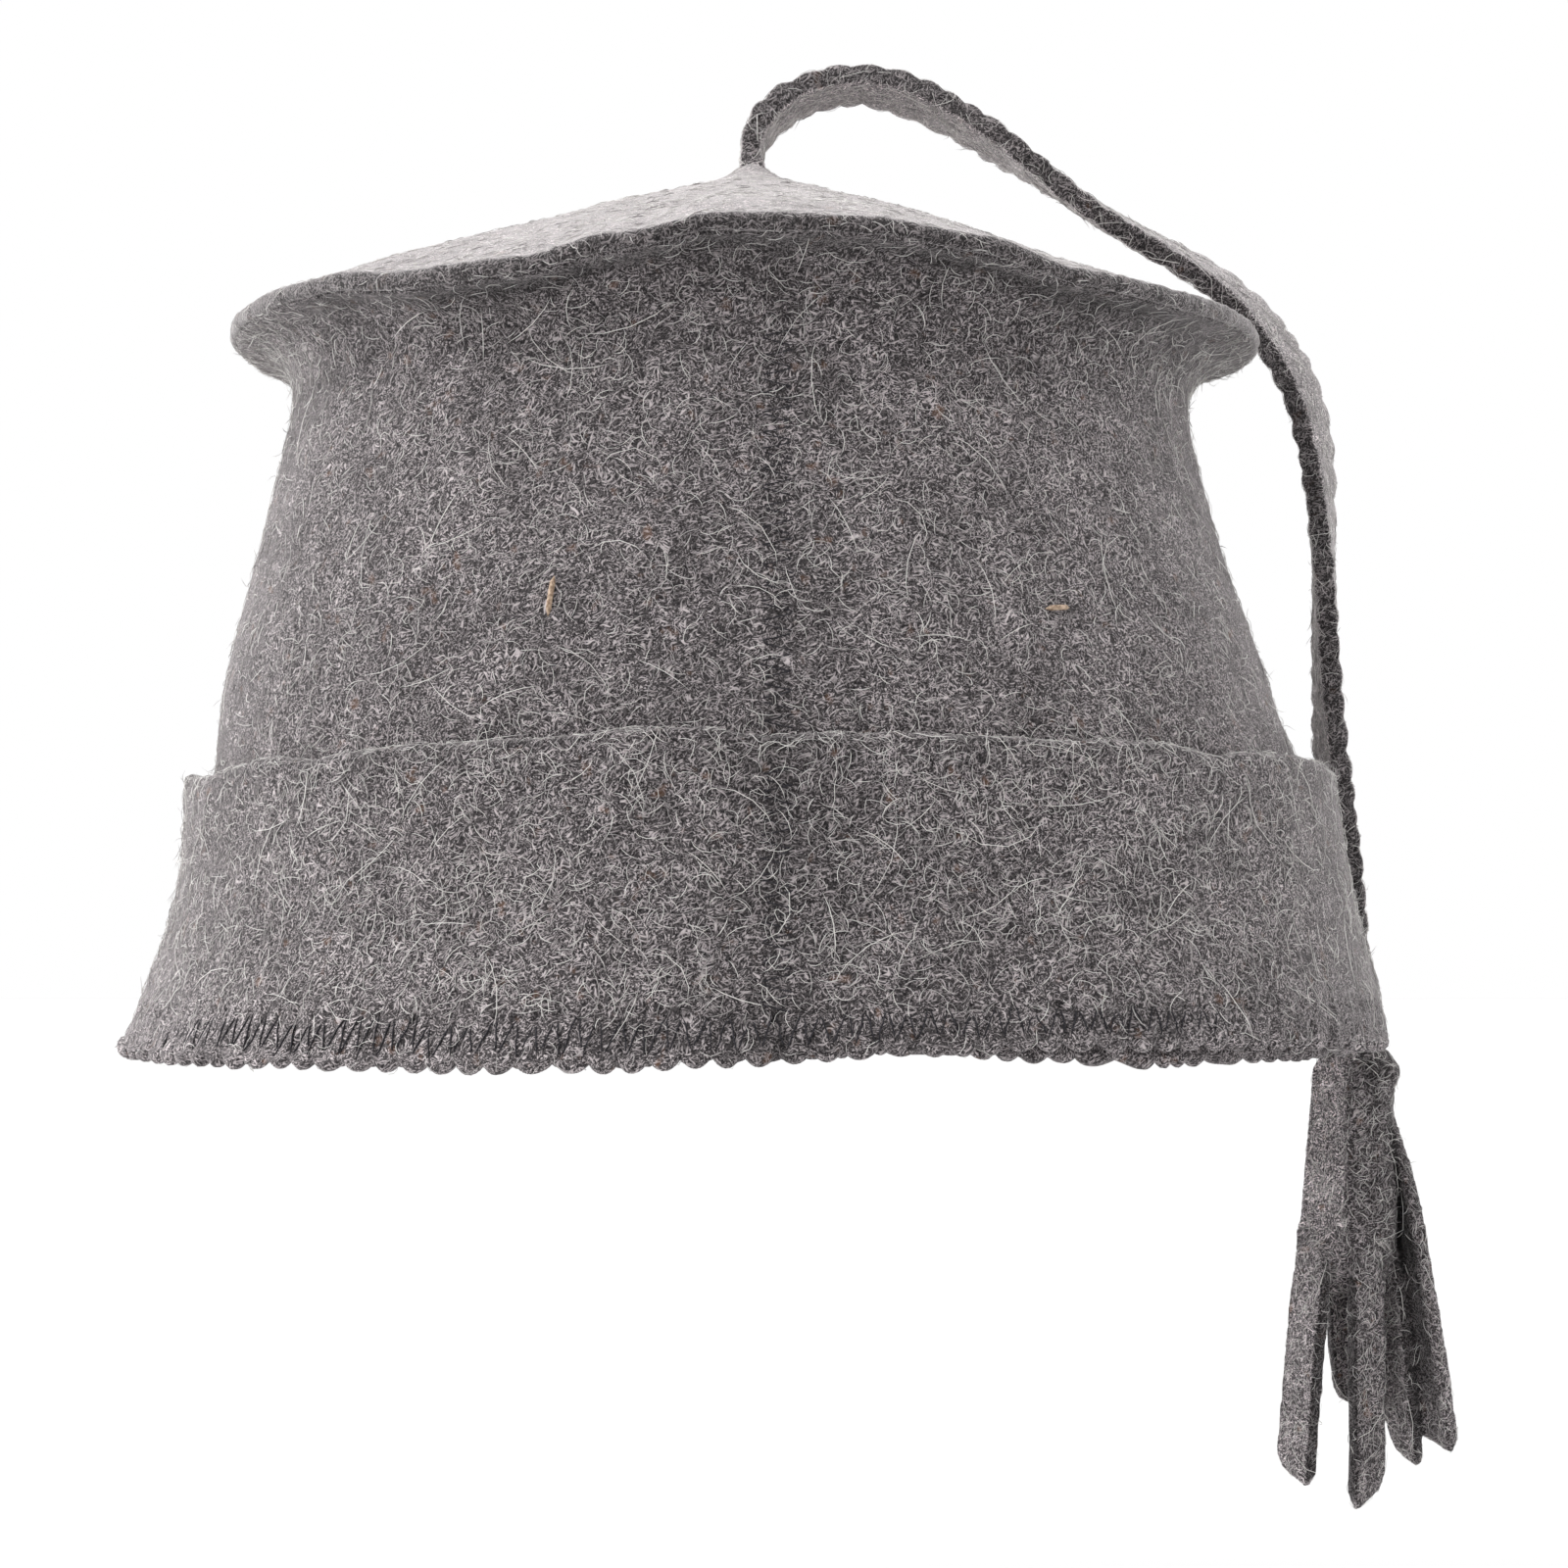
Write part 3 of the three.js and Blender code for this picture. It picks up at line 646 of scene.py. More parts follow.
move_points(top, angle, 0.15 * (rim_bump - 0.8) * at_rim,
            ease(reach[ring], 0.25, 1) * edge_lift(RIM, angle) + 0.2 * at_rim * above * (rim_bump - 0.7)
            - dip + foot)
# The sewn edge is darkened as painted shade, more in front where it turns from the light, and this takes back
# the top's painted light there.
edge = ease(rings[ring, 0], 100.8, 102.9) * (ring > inner_end + 1)
keep_shade(top, (0.62 + 0.2 * ease(-np.sin(angle), 0.2, 0.75)) * edge)
press_lumps(top, size=16, depth=0.8)
press_lumps(top, size=5, depth=0.4)
top_weight = np.where(ring > inner_end, 1.0, 0.1)
# The top's felt is a paler copy of the grey felt, as painted light where it faces the ceiling, and its nap
# catches the light with a stronger sheen.
TOP_FELT_LIT = felt_material("top_felt", (0.78, 0.7, 0.712, 1), (0.015, 0.0135, 0.0145, 1), sheen=0.76,
                         mottle=0.3)
top.data.materials.append(TOP_FELT_LIT)
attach(top, "root")
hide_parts("crown_top")
loose_hairs("top_hairs", top, count=6000, seed=12, weight=top_weight, free_share=0.0, long_share=0.005,
            rise=0.5, length=(1.5, 4.0))

# Cuff. A deep band of the same felt, turned up round the opening. Its lower edge is oversewn to the wall,
# which pulls it into scallops, and its upper edge is cut straight and stands free.
CUFF_SCALLOPS, CUFF_SEED, CUFF_WANDER = 128, 1, 0.12
CUFF_RADIUS = 111.0
ROUGH_SEED, ROUGH_HEIGHT = 8, 0.17
HEM_STITCHES, STITCH_SEED, STITCH_WANDER = 190, 2, 0.05
HOLE_HEIGHT, FOOT_HEIGHT = 8.3, 1.9


def thread_buried(angle):
    """How far the hem's thread has sunk out of sight, at the narrow ends of the oval."""
    return np.maximum(ease(np.cos(angle), 0.45, 0.8), ease(-np.cos(angle), 0.68, 0.92))


cuff_line = smooth_line(CUFF_ROWS[:, :3], 0.9, 2)
cuff_line = np.array([row for i, row in enumerate(cuff_line)
                      if row[0] < 10.5 or i % 3 == 0 or i == len(cuff_line) - 1])
cuff_square = np.tile((1.0, 0.0), (len(cuff_line), 1))
rings, cuff_height, cuff_side = felt_rings(cuff_line, cuff_square, np.full(len(cuff_line), FELT), 3)
counts = np.select([cuff_side == LOWER_EDGE, cuff_side == INSIDE, cuff_height < 12],
                   [FINE, COARSE, FINE], MEDIUM)
cuff, ring, angle = felt_shell("cuff_felt", rings, [int(count) for count in counts])

height, side = cuff_height[ring], cuff_side[ring]
level = rings[ring, 3]
phase = scallop_phase(angle, CUFF_SCALLOPS, CUFF_SEED, CUFF_WANDER)
bump = scallop_bump(phase)
outer = (side == OUTSIDE) | (side == LOWER_EDGE)
pitch = 2 * math.pi * CUFF_RADIUS / HEM_STITCHES
stitch = np.abs(scallop_phase(angle, HEM_STITCHES, STITCH_SEED, STITCH_WANDER) % 1 - 0.5)
from_hole = np.hypot(stitch * pitch, level - HOLE_HEIGHT)
from_leg = stitch - np.interp(level, (FOOT_HEIGHT, HOLE_HEIGHT), (0.5, 0.0))
on_leg = (hollow(from_leg * pitch, 0.4) * outer * ease(level, FOOT_HEIGHT - 1, FOOT_HEIGHT)
          * (1 - ease(level, HOLE_HEIGHT - 0.5, HOLE_HEIGHT + 0.8)))
joint, seam_band_shade = seam_pull(cuff)
shown = side != INSIDE
pillow = (1 - ease(level, 2.5, 6.5)) * outer
move_points(cuff, angle,
            0.65 * (bump - 0.7) * pillow - 0.4 * hollow(from_hole, 0.7) * outer - 0.25 * on_leg
            - 0.35 * joint * shown,
            ease(height, EDGE_WAVE_FOOT, CUFF_ROWS[-1, 0]) * edge_lift(CUFF_EDGE, angle)
            + ease(height, 46, CUFF_ROWS[-1, 0]) * scallop_phase(angle, 0, ROUGH_SEED, ROUGH_HEIGHT)
            + (1 - ease(height, 0, HEM_WAVE_HEIGHT)) * edge_lift(CUFF_HEM, angle)
            - 2.0 * (bump - 0.5) * (1 - ease(level, 0, 4.5)))
# The loops' lower edge is lightened as painted light, and the hem has painted light on the left and
# painted shade on the right.
lower_edge_light = (1 - ease(level, 0.2, 2.6)) * outer * (0.25 + 0.4 * ease(np.cos(angle), 0.2, 0.5))
hem_light_and_shade = ((1 - ease(level, 7, 12)) * outer
          * (0.25 * ease(-np.cos(angle), 0.2, 0.6) - 0.2 * ease(np.cos(angle), 0.2, 0.5)))
# Painted shade darkens the stitch holes, where the dark thread also goes in, the thread's grooves, the
# notches between the loops, the band about the seam and the top of the free edge in front, which faces the
# light. The felt is darker along the seam's joint.
keep_shade(cuff, (0.5 * hollow(from_hole, 0.55) * outer + 0.1 * on_leg) * (1 - thread_buried(angle))
           + 0.25 * joint * shown + 0.36 * seam_band_shade + 0.25 * pillow * (1 - bump)**2 - lower_edge_light - hem_light_and_shade
           + 0.25 * (side == UPPER_EDGE) * ease(-np.sin(angle), 0.3, 0.7))
cuff_weight = np.where(side == INSIDE, 0.05, 0.22 + 0.78 * ease(level, 7.5, 11) + 0.8 * ease(height, 50, 53))
press_lumps(cuff, size=16, depth=0.8)
press_lumps(cuff, size=5, depth=0.35)
cuff.data.materials.append(GREY_FELT)
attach(cuff, "root")
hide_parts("cuff")
loose_hairs("cuff_hairs", cuff, count=9000, seed=13, weight=cuff_weight)

# Stitches. Dark grey sewing thread: an even zigzag that oversews the hem, and a finer one that closes the
# upright seam in front and has sunk into the felt.
THREAD_RADIUS, THREAD_BURIED, THREAD_SUNK = 0.14, 0.3, 0.15
STITCH_POINTS = 6
HEM_LIFT = np.array([-0.4, 0.1, 0.15, 0.15, 0.1, -0.4])
ALL_ANGLES = np.linspace(-math.pi, math.pi, 40000, endpoint=False)


def streaked_material(name, size, dark, pale, roughness, gloss):
    """A strand's material, streaked from dark to pale by a noise of a size in millimetres."""
    material, tree = new_material(name)
    place = tree.nodes.new("ShaderNodeTexCoord").outputs["Object"]
    streak = between(tree, wool_noise(tree, place, size, 2.0).outputs[0], 0.35, 0.65)
    add_skin(tree, {"Base Color": blended(tree, streak, dark, pale), "Roughness": roughness,
                    "Specular IOR Level": gloss})
    return material


DARK_THREAD = streaked_material("dark_thread", 0.5, (0.014, 0.013, 0.016, 1), (0.04, 0.038, 0.044, 1),
                                roughness=0.8, gloss=0.2)


def laid_thread(places, lift, tree):
    """Thread lines laid on a surface, lifted from it in millimetres. Returns the lines and directions."""
    spots, square = (found.reshape(places.shape) for found in nearest_on(tree, places.reshape(-1, 3)))
    return spots + square * lift[..., None] * MM, square


def add_stitches(name, lines, square, radius):
    """A piece of sewing thread, a strand for each stitch."""
    stitches, _ = strands(name, lines, np.full(len(lines), radius * MM), square[:, 1], sides=5)
    stitches.data.materials.append(DARK_THREAD)
    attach(stitches, "root")


cuff_tree = surface(cuff)[0]
stitch_phases = scallop_phase(ALL_ANGLES, HEM_STITCHES, STITCH_SEED, STITCH_WANDER)
random = np.random.default_rng(21)
legs, buried = [], []
for number in range(HEM_STITCHES):
    hole_height = HOLE_HEIGHT + random.normal(0, 0.5)
    hole = number + 0.5 + random.normal(0, 0.06)
    for foot in (number, number + 1):
        levels = np.linspace(hole_height, FOOT_HEIGHT + random.normal(0, 0.4), STITCH_POINTS)
        at = hole + (foot - hole) * np.linspace(0, 1, STITCH_POINTS)
        at = (at - stitch_phases[0]) % HEM_STITCHES + stitch_phases[0]
        turn = np.interp(at, stitch_phases, ALL_ANGLES)
        buried.append(THREAD_BURIED * thread_buried(turn))
        half = np.interp(levels, CUFF_ROWS[:, 0], CUFF_ROWS[:, 1]) + 0.5
        lean = np.interp(levels, CUFF_ROWS[:, 0], CUFF_ROWS[:, 2])
        rise = (1 - ease(levels, 0, HEM_WAVE_HEIGHT)) * edge_lift(CUFF_HEM, turn)
        legs.append(np.c_[lean + half * np.cos(turn), half * DEPTH_RATIO * np.sin(turn), levels + rise] * MM)
sunk = random.choice((0.0, 0.0, 0.0, 0.0, 0.0, THREAD_SUNK), len(legs))[:, None]
lines, square = laid_thread(np.array(legs), HEM_LIFT - sunk - np.array(buried), cuff_tree)
add_stitches("hem_stitches", lines, square, THREAD_RADIUS)

SEAM_REACH, SEAM_PITCH, SEAM_THREAD = 3.4, 3.4, 0.17
SEAM_LIFT = np.array([-0.3, 0.03, -0.12, -0.12, 0.03, -0.3])
LOOK_FROM = -200.0


def laid_in_front(tree, across, heights, lift):
    """A line laid on the front of a surface, at places across and up it and lifted from it, all in
    millimetres. Returns the line and the directions square to the surface."""
    hits = [tree.ray_cast(Vector((x * MM, LOOK_FROM * MM, z * MM)), Vector((0, 1, 0)))[:2]
            for x, z in zip(across, heights)]
    spots, square = (np.array([tuple(vector) for vector in vectors]) for vectors in zip(*hits))
    return spots + square * lift[:, None] * MM, square


wall_tree = surface(wall)[0]
seam_lines, seam_squares = [], []
for tree, low, high in ((cuff_tree, 10.0, 52.0), (wall_tree, 57.0, 131.0)):
    for number in range(int((high - low) / SEAM_PITCH)):
        for sign in (-1, 1):
            share = np.linspace(-1, 1, STITCH_POINTS)
            height = low + SEAM_PITCH * (number + 0.25 * sign + 0.25 * share) + random.normal(0, 0.25)
            across = SEAM_X + sign * SEAM_REACH * share + random.normal(0, 0.2)
            line, square = laid_in_front(tree, across, height, SEAM_LIFT)
            seam_lines.append(line)
            seam_squares.append(square)
add_stitches("seam_stitches", np.array(seam_lines), np.array(seam_squares), SEAM_THREAD)

# Straw. Two broken bits of straw that came with the wool and are felted half into the wall.
STRAWS = [
    # start and end across and up the front, and half thickness
    (-33.0, 82.9, -34.0, 75.3, 0.5), (51.6, 77.9, 56.4, 78.5, 0.48),
]
STRAW_LIFT = np.array([-0.1, 0.25, 0.3, 0.3, 0.25, -0.1])

straw_lines, straw_squares = [], []
for x, z, end_x, end_z, thick in STRAWS:
    line, square = laid_in_front(wall_tree, np.linspace(x, end_x, len(STRAW_LIFT)),
                                 np.linspace(z, end_z, len(STRAW_LIFT)), STRAW_LIFT)
    straw_lines.append(line)
    straw_squares.append(square)
straw, _ = strands("straw_bits", np.array(straw_lines), np.array(STRAWS)[:, 4] * MM,
                   np.array(straw_squares)[:, 1], sides=7)
straw.data.materials.append(streaked_material("dry_straw", 0.6, (0.24, 0.16, 0.105, 1), (0.58, 0.44, 0.33, 1),
                                              roughness=0.6, gloss=0.3))
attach(straw, "root")

# Strap. A flat strip of felt, doubled and sewn along both edges, so that each stitch draws a notch. It is
# sewn into the point of the top, arches over and hangs down beside the hat to the tassel.
STRAP = np.array([
    # x, y, z, twist in degrees
    (0.0, 0.0, 174.2, 0), (-0.1, 0.0, 176.0, 0), (-0.4, 0.0, 179.8, 0), (0.0, 0.5, 183.2, 1),
    (1.6, 1.0, 186.8, 0), (4.6, 1.5, 190.2, -3), (8.9, 2.0, 193.2, -3), (14.6, 2.4, 195.4, -2),
    (22.5, 3.0, 196.5, -3),
    (30.6, 4.0, 195.0, -6), (38.8, 5.0, 191.9, -4), (47.0, 6.0, 187.4, -2), (55.2, 7.0, 182.3, 5),
    (63.4, 8.0, 176.8, 14), (71.6, 9.0, 171.5, 19), (80.3, 10.0, 166.6, 23), (88.8, 11.0, 162.3, 28),
    (95.7, 12.0, 158.4, 31), (101.9, 12.5, 153.5, 34), (107.0, 13.0, 147.8, 37), (111.2, 13.5, 141.9, 37),
    (114.1, 14.0, 136.4, 37), (116.0, 14.3, 130.9, 35), (117.3, 14.6, 124.7, 32), (118.6, 15.0, 112.4, 24),
    (119.1, 15.5, 100.0, 15), (119.3, 16.0, 87.7, 8), (119.6, 16.8, 75.5, 3), (120.4, 18.0, 63.2, -2),
    (121.9, 19.6, 51.0, -3), (123.7, 21.5, 38.8, -2), (125.3, 23.3, 26.5, 0), (126.5, 25.0, 12.1, 0),
    (126.9, 25.6, -4.0, 0),
])
STRAP_HALF, STRAP_FLAT, STRAP_CORNER = 6.6, 2.2, 0.7
NOTCH_PITCH = 5.8
FOOT = 2.0

# The strip's outline: a turn at each corner, and the flats between. Each point is a share of the way to the
# corner's middle across and through the strip, and a direction round that corner.
outline = []
for number, (wide, deep) in enumerate(((1, 1), (-1, 1), (-1, -1), (1, -1))):
    for turn in np.radians(90 * number + np.array((8, 32, 58, 82))):
        outline.append((wide, math.cos(turn), deep, math.sin(turn)))
    for share in ((0.7, 0.35, 0.0, -0.35, -0.7) if number % 2 == 0 else (0.4, 0.0, -0.4)):
        outline.append((wide * share, 0, deep, deep) if number % 2 == 0 else (wide, wide, deep * share, 0))
outline = np.array(outline)
STRAP_SIDES = len(outline)

strap_line = smooth_line(STRAP, 0.9)
centres = strap_line[:, :3]
ahead = np.gradient(centres, axis=0)
ahead /= np.linalg.norm(ahead, axis=1)[:, None]
across = np.array((0.0, 1.0, 0.0)) - ahead * ahead[:, 1:2]
across /= np.linalg.norm(across, axis=1)[:, None]
face = np.cross(ahead, across)
twist = np.radians(strap_line[:, 3:4])
across, face = across * np.cos(twist) + face * np.sin(twist), face * np.cos(twist) - across * np.sin(twist)
along = np.r_[0, np.cumsum(np.linalg.norm(np.diff(centres, axis=0), axis=1))]
random = np.random.default_rng(31)
notches = []
for side in (-1, 1):
    wander = sum(0.16 * random.normal() * np.sin(2 * math.pi * (along / period + random.random()))
                 for period in (23.0, 37.0, 61.0))
    notches.append(1 - scallop_bump(along / NOTCH_PITCH + random.random() + wander))
foot = np.exp(-np.clip(along - FOOT, 0, None) / 1.4)[:, None]
notch = np.where(outline[:, 0] < 0, notches[0][:, None], notches[1][:, None])
at_edge = ease(np.abs(outline[:, 0]), 0.3, 1.0)
half = STRAP_HALF * (1 + 0.05 * foot) - 0.75 * notch - STRAP_CORNER
padded = 1 + 0.15 * foot + 0.15 * hollow(along - 14, 5)[:, None]
thin = STRAP_FLAT * padded * (1 - 0.24 * notch * at_edge) - STRAP_CORNER
wide = outline[:, 0] * half + outline[:, 1] * STRAP_CORNER
deep = outline[:, 2] * thin + outline[:, 3] * STRAP_CORNER
tube = (centres[:, None] + across[:, None] * wide[..., None] + face[:, None] * deep[..., None]) * MM
rows = len(centres)
grid = np.arange(rows * STRAP_SIDES).reshape(rows, STRAP_SIDES)
after = np.roll(grid, -1, axis=1)
quads = np.stack([grid[:-1], after[:-1], after[1:], grid[1:]], axis=2).reshape(-1, 4)
mesh = bpy.data.meshes.new("strap_felt")
ends = [grid[0, ::-1].tolist(), grid[-1].tolist()]
mesh.from_pydata(tube.reshape(-1, 3).tolist(), [], quads.tolist() + ends)
strap = bpy.data.objects.new("strap_felt", mesh)
bpy.context.collection.objects.link(strap)
bpy.ops.object.select_all(action="DESELECT")
strap.select_set(True)
bpy.context.view_layer.objects.active = strap
bpy.ops.object.mode_set(mode="EDIT")
finish_faces()
sewn_edge = np.broadcast_to(ease(np.abs(outline[:, 1]), 0.5, 0.9), notch.shape)
below = np.broadcast_to(ease(-outline[:, 3], 0.3, 0.9), notch.shape)
# Painted shade darkens the sewn edges and the stitch notches; painted light lightens the underside and the
# foot where the strap leaves the top.
keep_shade(strap, (np.clip(0.72 * sewn_edge + 0.35 * notch**2 * at_edge, 0, 1) * (1 - foot) - 0.3 * foot
                   - 0.4 * below).ravel())
press_lumps(strap, size=6, depth=0.5)
# The strap's felt is a paler copy of the grey felt: painted light, with a stronger sheen.
STRAP_FELT_LIT = felt_material("strap_felt", (0.85, 0.77, 0.78, 1), (0.02, 0.018, 0.0195, 1), sheen=0.75)
strap.data.materials.append(STRAP_FELT_LIT)
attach(strap, "root")
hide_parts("strap")
strap_weight = (1 - 0.9 * sewn_edge + 1.5 * below).ravel()
strap_hairs = loose_hairs("strap_hairs", strap, count=3600, seed=14, weight=strap_weight, free_share=0.03,
                          long_share=0.01, rise=0.6)

# Tassel. The lower end of the strap is rolled into a head, tied off at its top, and slit below into six
# loose strips with slanting cut tips.
TASSEL_PLACE = np.array((126.9, 26.0, 0.0))
HEAD = np.array([
    # height, shift, half width, half depth
    (-2.6, -0.1, 6.9, 3.2), (-4.5, -0.1, 7.8, 5.6), (-6.5, 0.0, 8.7, 6.4), (-10.0, -0.6, 8.4, 6.2),
    (-25.0, -1.2, 9.1, 6.4), (-40.0, -1.9, 9.5, 6.5), (-47.0, -2.3, 8.8, 5.0), (-53.0, -2.6, 6.4, 2.4),
])
STRIPS = [
    # top, tip, bow, width, turn, slant
    ((-8.6, -2.6, -34.0), (-15.0, -4.5, -90.0), 0.58, 9.4, -60, 3.6),
    ((-4.0, 3.2, -34.0), (-1.2, 5.2, -77.0), 0.35, 6.8, 16, 3.6),
    ((0.2, -5.0, -34.0), (-0.6, -5.4, -94.5), 0.5, 8.0, 28, -4.6),
    ((2.8, 3.4, -36.0), (5.2, 6.6, -80.5), 0.4, 8.4, -10, 2.0),
    ((4.8, 1.6, -32.0), (9.8, 2.0, -87.5), 0.5, 7.6, 122, -3.4),
    ((4.2, 0.6, -12.0), (15.2, -1.0, -84.0), 0.56, 11.0, 119, -3.0),
]
STRIP_FELT = 2.8
TASSEL_VOXEL = 0.55

head_line = smooth_line(HEAD, 1.5, 1)
rings = [(half, deep, shift, height) for height, shift, half, deep in head_line]
tassel, _, _ = felt_shell("tassel_felt", rings, [64] * len(rings), capped=True)
place_points(tassel, mesh_points(tassel) + TASSEL_PLACE * MM)
strips = []
for top_point, tip, bow, width, turn, slant in STRIPS:
    bpy.ops.object.select_all(action="DESELECT")
    bpy.ops.mesh.primitive_cube_add(size=1)
    strip = bpy.context.object
    bpy.ops.object.mode_set(mode="EDIT")
    bpy.ops.mesh.subdivide(number_cuts=18)
    bpy.ops.object.mode_set(mode="OBJECT")
    u, v, w = mesh_points(strip).T
    w = 0.5 - w[:, None]
    first, last = np.array(top_point), np.array(tip)
    middle = (first + last) / 2
    middle[0] = first[0] + (last[0] - first[0]) * (2 * bow - 0.5)
    # The tips are blunt.
    at_tip = w[:, 0] > 0.97
    u, v = u * (1 - 0.26 * at_tip), v * (1 - 0.4 * at_tip)
    line = (1 - w)**2 * first + 2 * w * (1 - w) * middle + w**2 * last
    turn = math.radians(turn)
    line += np.outer(u * width * ease(w[:, 0], -0.25, 0.35), (math.cos(turn), math.sin(turn), 0))
    line += np.outer(v * STRIP_FELT, (-math.sin(turn), math.cos(turn), 0))
    line[:, 2] -= slant * u * ease(w[:, 0], 0.75, 1)
    place_points(strip, (line + TASSEL_PLACE) * MM)
    bpy.ops.object.mode_set(mode="EDIT")
    finish_faces()
    strips.append(strip)
bpy.ops.object.select_all(action="DESELECT")
for piece in [tassel] + strips:
    piece.select_set(True)
bpy.context.view_layer.objects.active = tassel
bpy.ops.object.join()
tassel.data.remesh_voxel_size = TASSEL_VOXEL * MM
bpy.ops.object.voxel_remesh()
soften = tassel.modifiers.new("soften", "SMOOTH")
soften.factor, soften.iterations = 0.5, 10
bpy.ops.object.modifier_apply(modifier="soften")
bpy.ops.object.shade_smooth()

# The roll's outer layer ends in an upright edge: left of it the head slopes back, right of it lies deeper.
CREASE_TOP, CREASE_FOOT = (-2.8, -5.0), (-5.2, -46.0)
LAYER_STEP, FACET_FRONT, FACET_SLOPE = 0.7, -5.4, 1.35
KNOT = np.array((6.6, -2.0, -7.5))
points = mesh_points(tassel) / MM - TASSEL_PLACE
down = (points[:, 2] - CREASE_TOP[1]) / (CREASE_FOOT[1] - CREASE_TOP[1])
from_crease = points[:, 0] - (CREASE_TOP[0] + (CREASE_FOOT[0] - CREASE_TOP[0]) * down)
front = ease(-points[:, 1], -1.5, 3.5) * ease(down, -0.12, 0.05) * (1 - ease(down, 0.88, 1.1))
step = ease(from_crease, 0.0, 1.0) * (1 - ease(from_crease, 4.0, 11.0))
facet = FACET_FRONT - FACET_SLOPE * from_crease - points[:, 1]
rolled = ease(down, -0.12, 0.05) * (1 - ease(down, 0.85, 1.0)) * (from_crease < 0)
points[:, 1] += front * LAYER_STEP * step + rolled * np.clip(facet, 0, None)
crease = front * hollow(from_crease - 0.7, 0.8)
from_knot = points - KNOT
knot = hollow(np.linalg.norm(from_knot, axis=1), 2.0)
points += from_knot / (np.linalg.norm(from_knot, axis=1)[:, None] + 0.5) * 0.8 * knot[:, None]
place_points(tassel, (points + TASSEL_PLACE) * MM)
# The strips' cut edges are darkened as painted shade, where they turn from the light into the other
# strips' shade.
cut = np.zeros(len(points))
for strip_number, (top_point, tip, bow, width, turn, slant) in enumerate(STRIPS):
    first, run = np.array(top_point), np.subtract(tip, top_point)
    drop = np.clip((points[:, 2] - first[2]) / run[2], 0, 1.1)
    off_x = points[:, 0] - first[0] - run[0] * (drop * (4 * bow - 1) * (1 - drop) + drop**2)
    off_y = points[:, 1] - first[1] - run[1] * drop
    turn = math.radians(turn)
    reach = (off_x * math.cos(turn) + off_y * math.sin(turn)) / width
    wide = np.abs(reach)
    inward = (off_y * math.cos(turn) - off_x * math.sin(turn)) / STRIP_FELT
    deep = np.abs(inward)
    on_strip = (1 - ease(deep, 0.45, 0.75)) * ease(drop, 0.1, 0.3)
    if strip_number < len(STRIPS) - 1:
        cut = np.maximum(cut, ease(wide, 0.41, 0.47) * (wide < 0.6) * on_strip)
# The last strip stands edge on, and its inner face is in the others' shade.
inner = (ease(reach, -0.42, -0.3) * (reach < 0.5) * ease(inward, 0.0, 0.3) * (inward < 0.8)
         * ease(drop, 0.02, 0.08) * (1 - ease(drop, 0.75, 1.0)))
# Painted light lightens the head's left facet and the left strip, which face the light; painted shade darkens
# the head's crease, its top under the hem and its right front.
lit = ease(-points[:, 0], 3.0, 5.0) * np.where(down < 0.9, 1.3 * rolled, 0.6 * (1 - cut))
under_hem_shade = ease(points[:, 0], -1.5, 2.0) * ease(points[:, 2], -11.0, -5.5)
keep_shade(tassel, np.maximum.reduce([0.2 * crease, 0.85 * cut, 0.95 * inner, 0.45 * under_hem_shade]) - lit
           + 0.38 * ease(points[:, 0], -2.0, 2.0) * ease(points[:, 2], -52, -42))
press_lumps(tassel, size=7, depth=0.5)
tassel.data.materials.append(GREY_FELT)
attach(tassel, "root")
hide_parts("tassel")
tassel_weight = 1 - 0.9 * np.maximum(cut, inner)
tassel_hairs = loose_hairs("tassel_hairs", tassel, count=2600, seed=15, weight=tassel_weight, free_share=0.05,
                           long_share=0.01, rise=0.7, length=(1.8, 4.5))

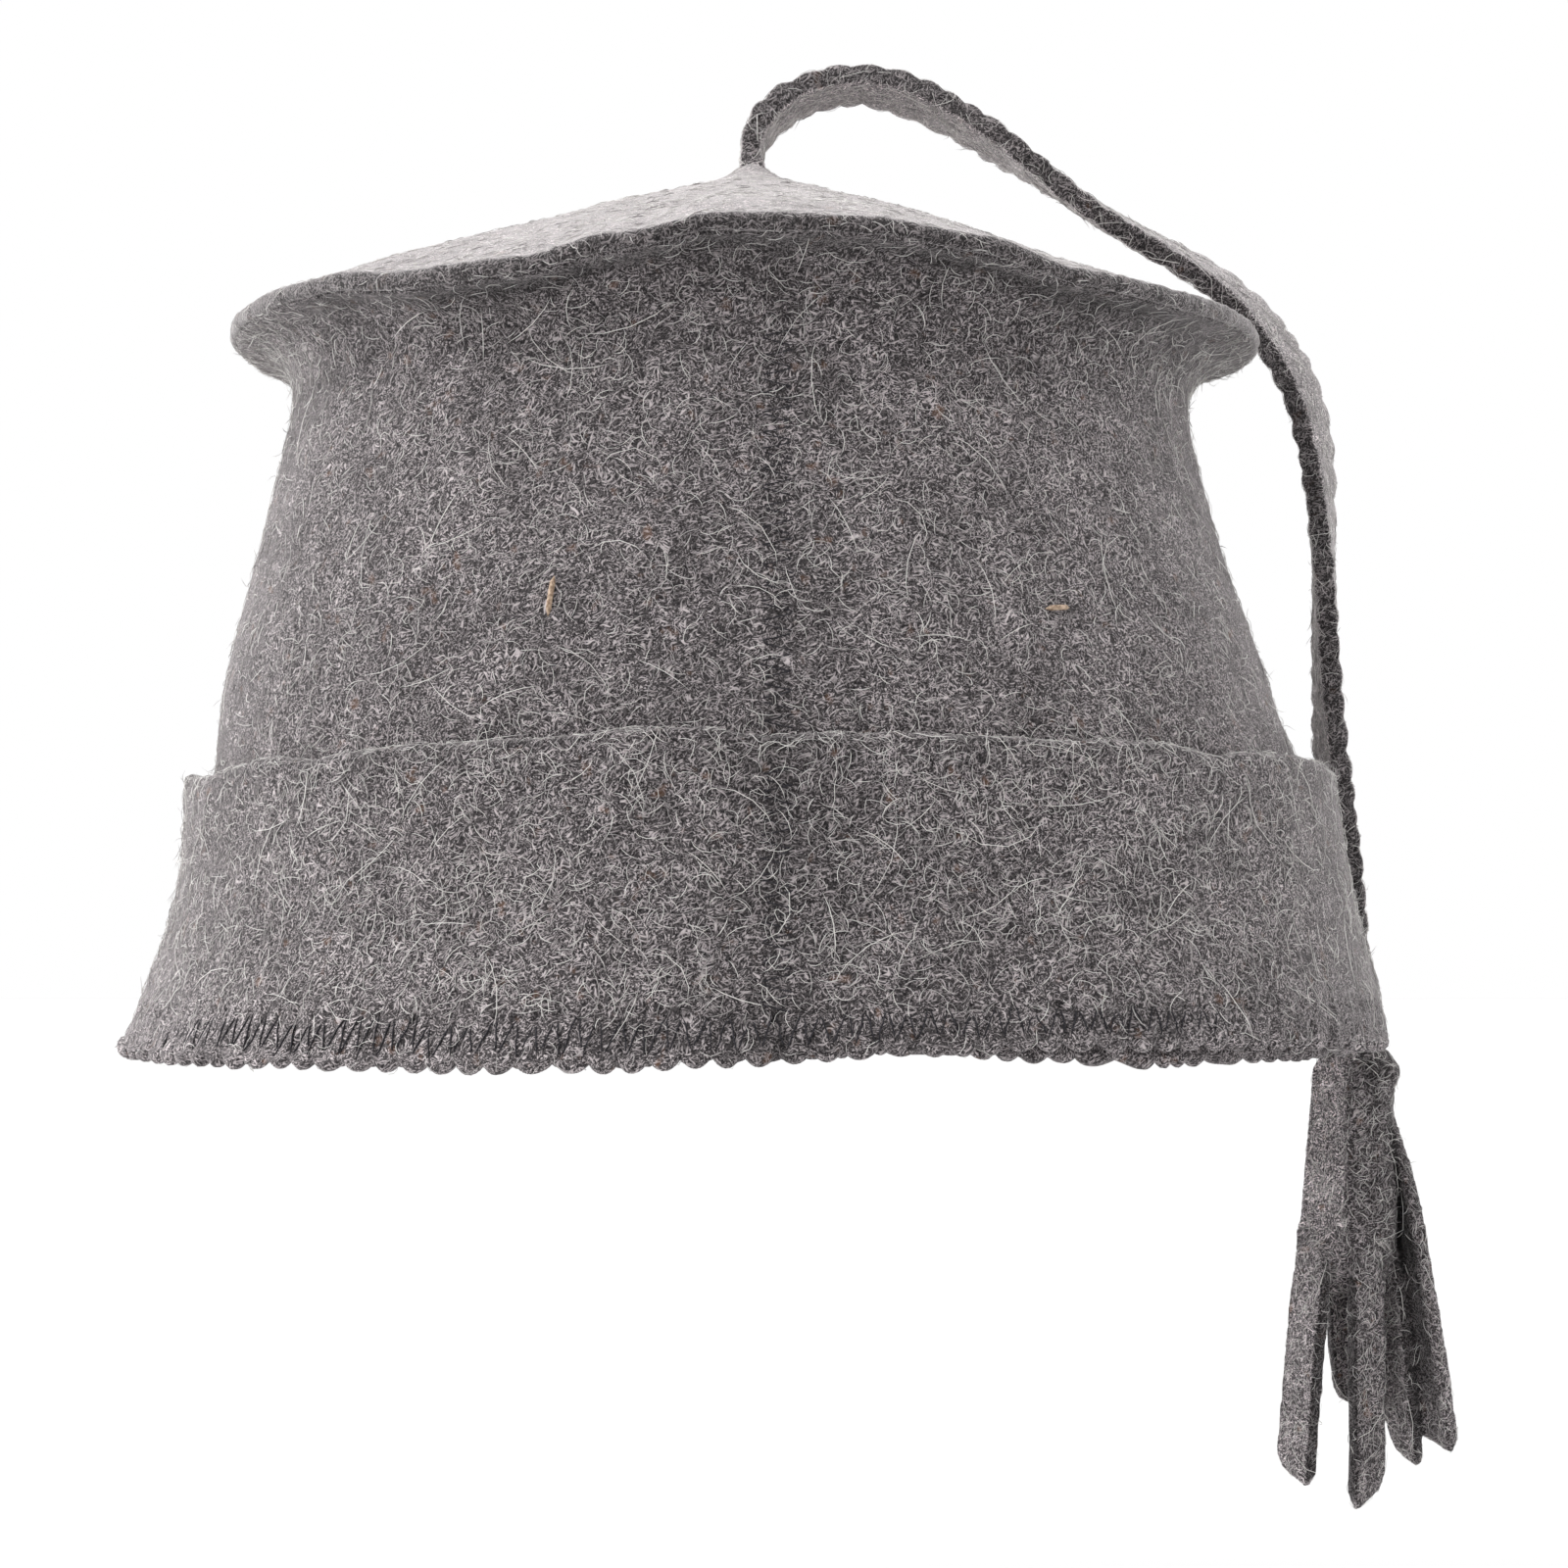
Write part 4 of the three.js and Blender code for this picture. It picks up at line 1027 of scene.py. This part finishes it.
# Camera and stage. The camera stands level with the opening and looks slightly up, as in the photo. The
# light is a bright white room: a white ceiling, and more light from the left than the right.
CAMERA_PLACE, CAMERA_TILT, CAMERA_LENS, CAMERA_SENSOR = (0.0063, -0.477, 0.0203), 93.776, 54.54, 36.0
FLOOR_HEIGHT, FLOOR_SIZE = -0.14, 12
ROOM_LIGHT = [
    # axis, strength towards its plus or minus end, where along the axis the light begins
    ("X", 1.65, 0.2), ("X", -4.2, 0.2), ("Y", 1.5, 0.0), ("Z", 1.42, 0.5),
]
bpy.ops.object.select_all(action="DESELECT")
bpy.ops.object.camera_add(location=CAMERA_PLACE, rotation=(math.radians(CAMERA_TILT), 0, 0))
camera = bpy.context.object
camera.data.lens, camera.data.sensor_width = CAMERA_LENS, CAMERA_SENSOR
bpy.context.scene.camera = camera
bpy.context.scene.view_settings.view_transform = "Standard"

bpy.ops.mesh.primitive_plane_add(size=FLOOR_SIZE, location=(0, 0, 0))
floor = bpy.context.object
floor.name = floor.data.name = "floor"
place_points(floor, mesh_points(floor) + (0, 0, FLOOR_HEIGHT))
paint = bpy.data.materials.new("pale_floor")
paint.use_nodes = True
skin = paint.node_tree.nodes["Principled BSDF"].inputs
skin["Base Color"].default_value = (0.565, 0.565, 0.565, 1)
skin["Roughness"].default_value = 0.9
floor.data.materials.append(paint)
floor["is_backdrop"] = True

room = bpy.data.worlds.new("white_room")
bpy.context.scene.world = room
room.use_nodes = True
tree = room.node_tree
tree.nodes.clear()
direction = tree.nodes.new("ShaderNodeTexCoord").outputs["Generated"]
axes = node(tree, "ShaderNodeSeparateXYZ", {"Vector": direction}).outputs
glow = 0.0
for axis, strength, begin in ROOM_LIGHT:
    side = math.copysign(1, strength)
    lobe = between(tree, axes[axis], begin * side, side)
    glow = maths(tree, "MULTIPLY_ADD", lobe, abs(strength), glow)
seen = tree.nodes.new("ShaderNodeLightPath").outputs["Is Camera Ray"]
glow = node(tree, "ShaderNodeMix", {0: seen, 2: glow, 3: 1.0}, data_type="FLOAT").outputs[0]
background = node(tree, "ShaderNodeBackground", {"Color": (1, 1, 1, 1), "Strength": glow})
out = tree.nodes.new("ShaderNodeOutputWorld")
tree.links.new(background.outputs[0], out.inputs["Surface"])

bpy.ops.object.light_add(type="AREA", location=(-0.1, 0.05, 1.2))
overhead = bpy.context.object
overhead.name = "overhead_light"
overhead.data.shape = "RECTANGLE"
overhead.data.size, overhead.data.size_y = 1.6, 1.4
overhead.data.energy = 2.0
overhead.visible_camera = False

low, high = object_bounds()
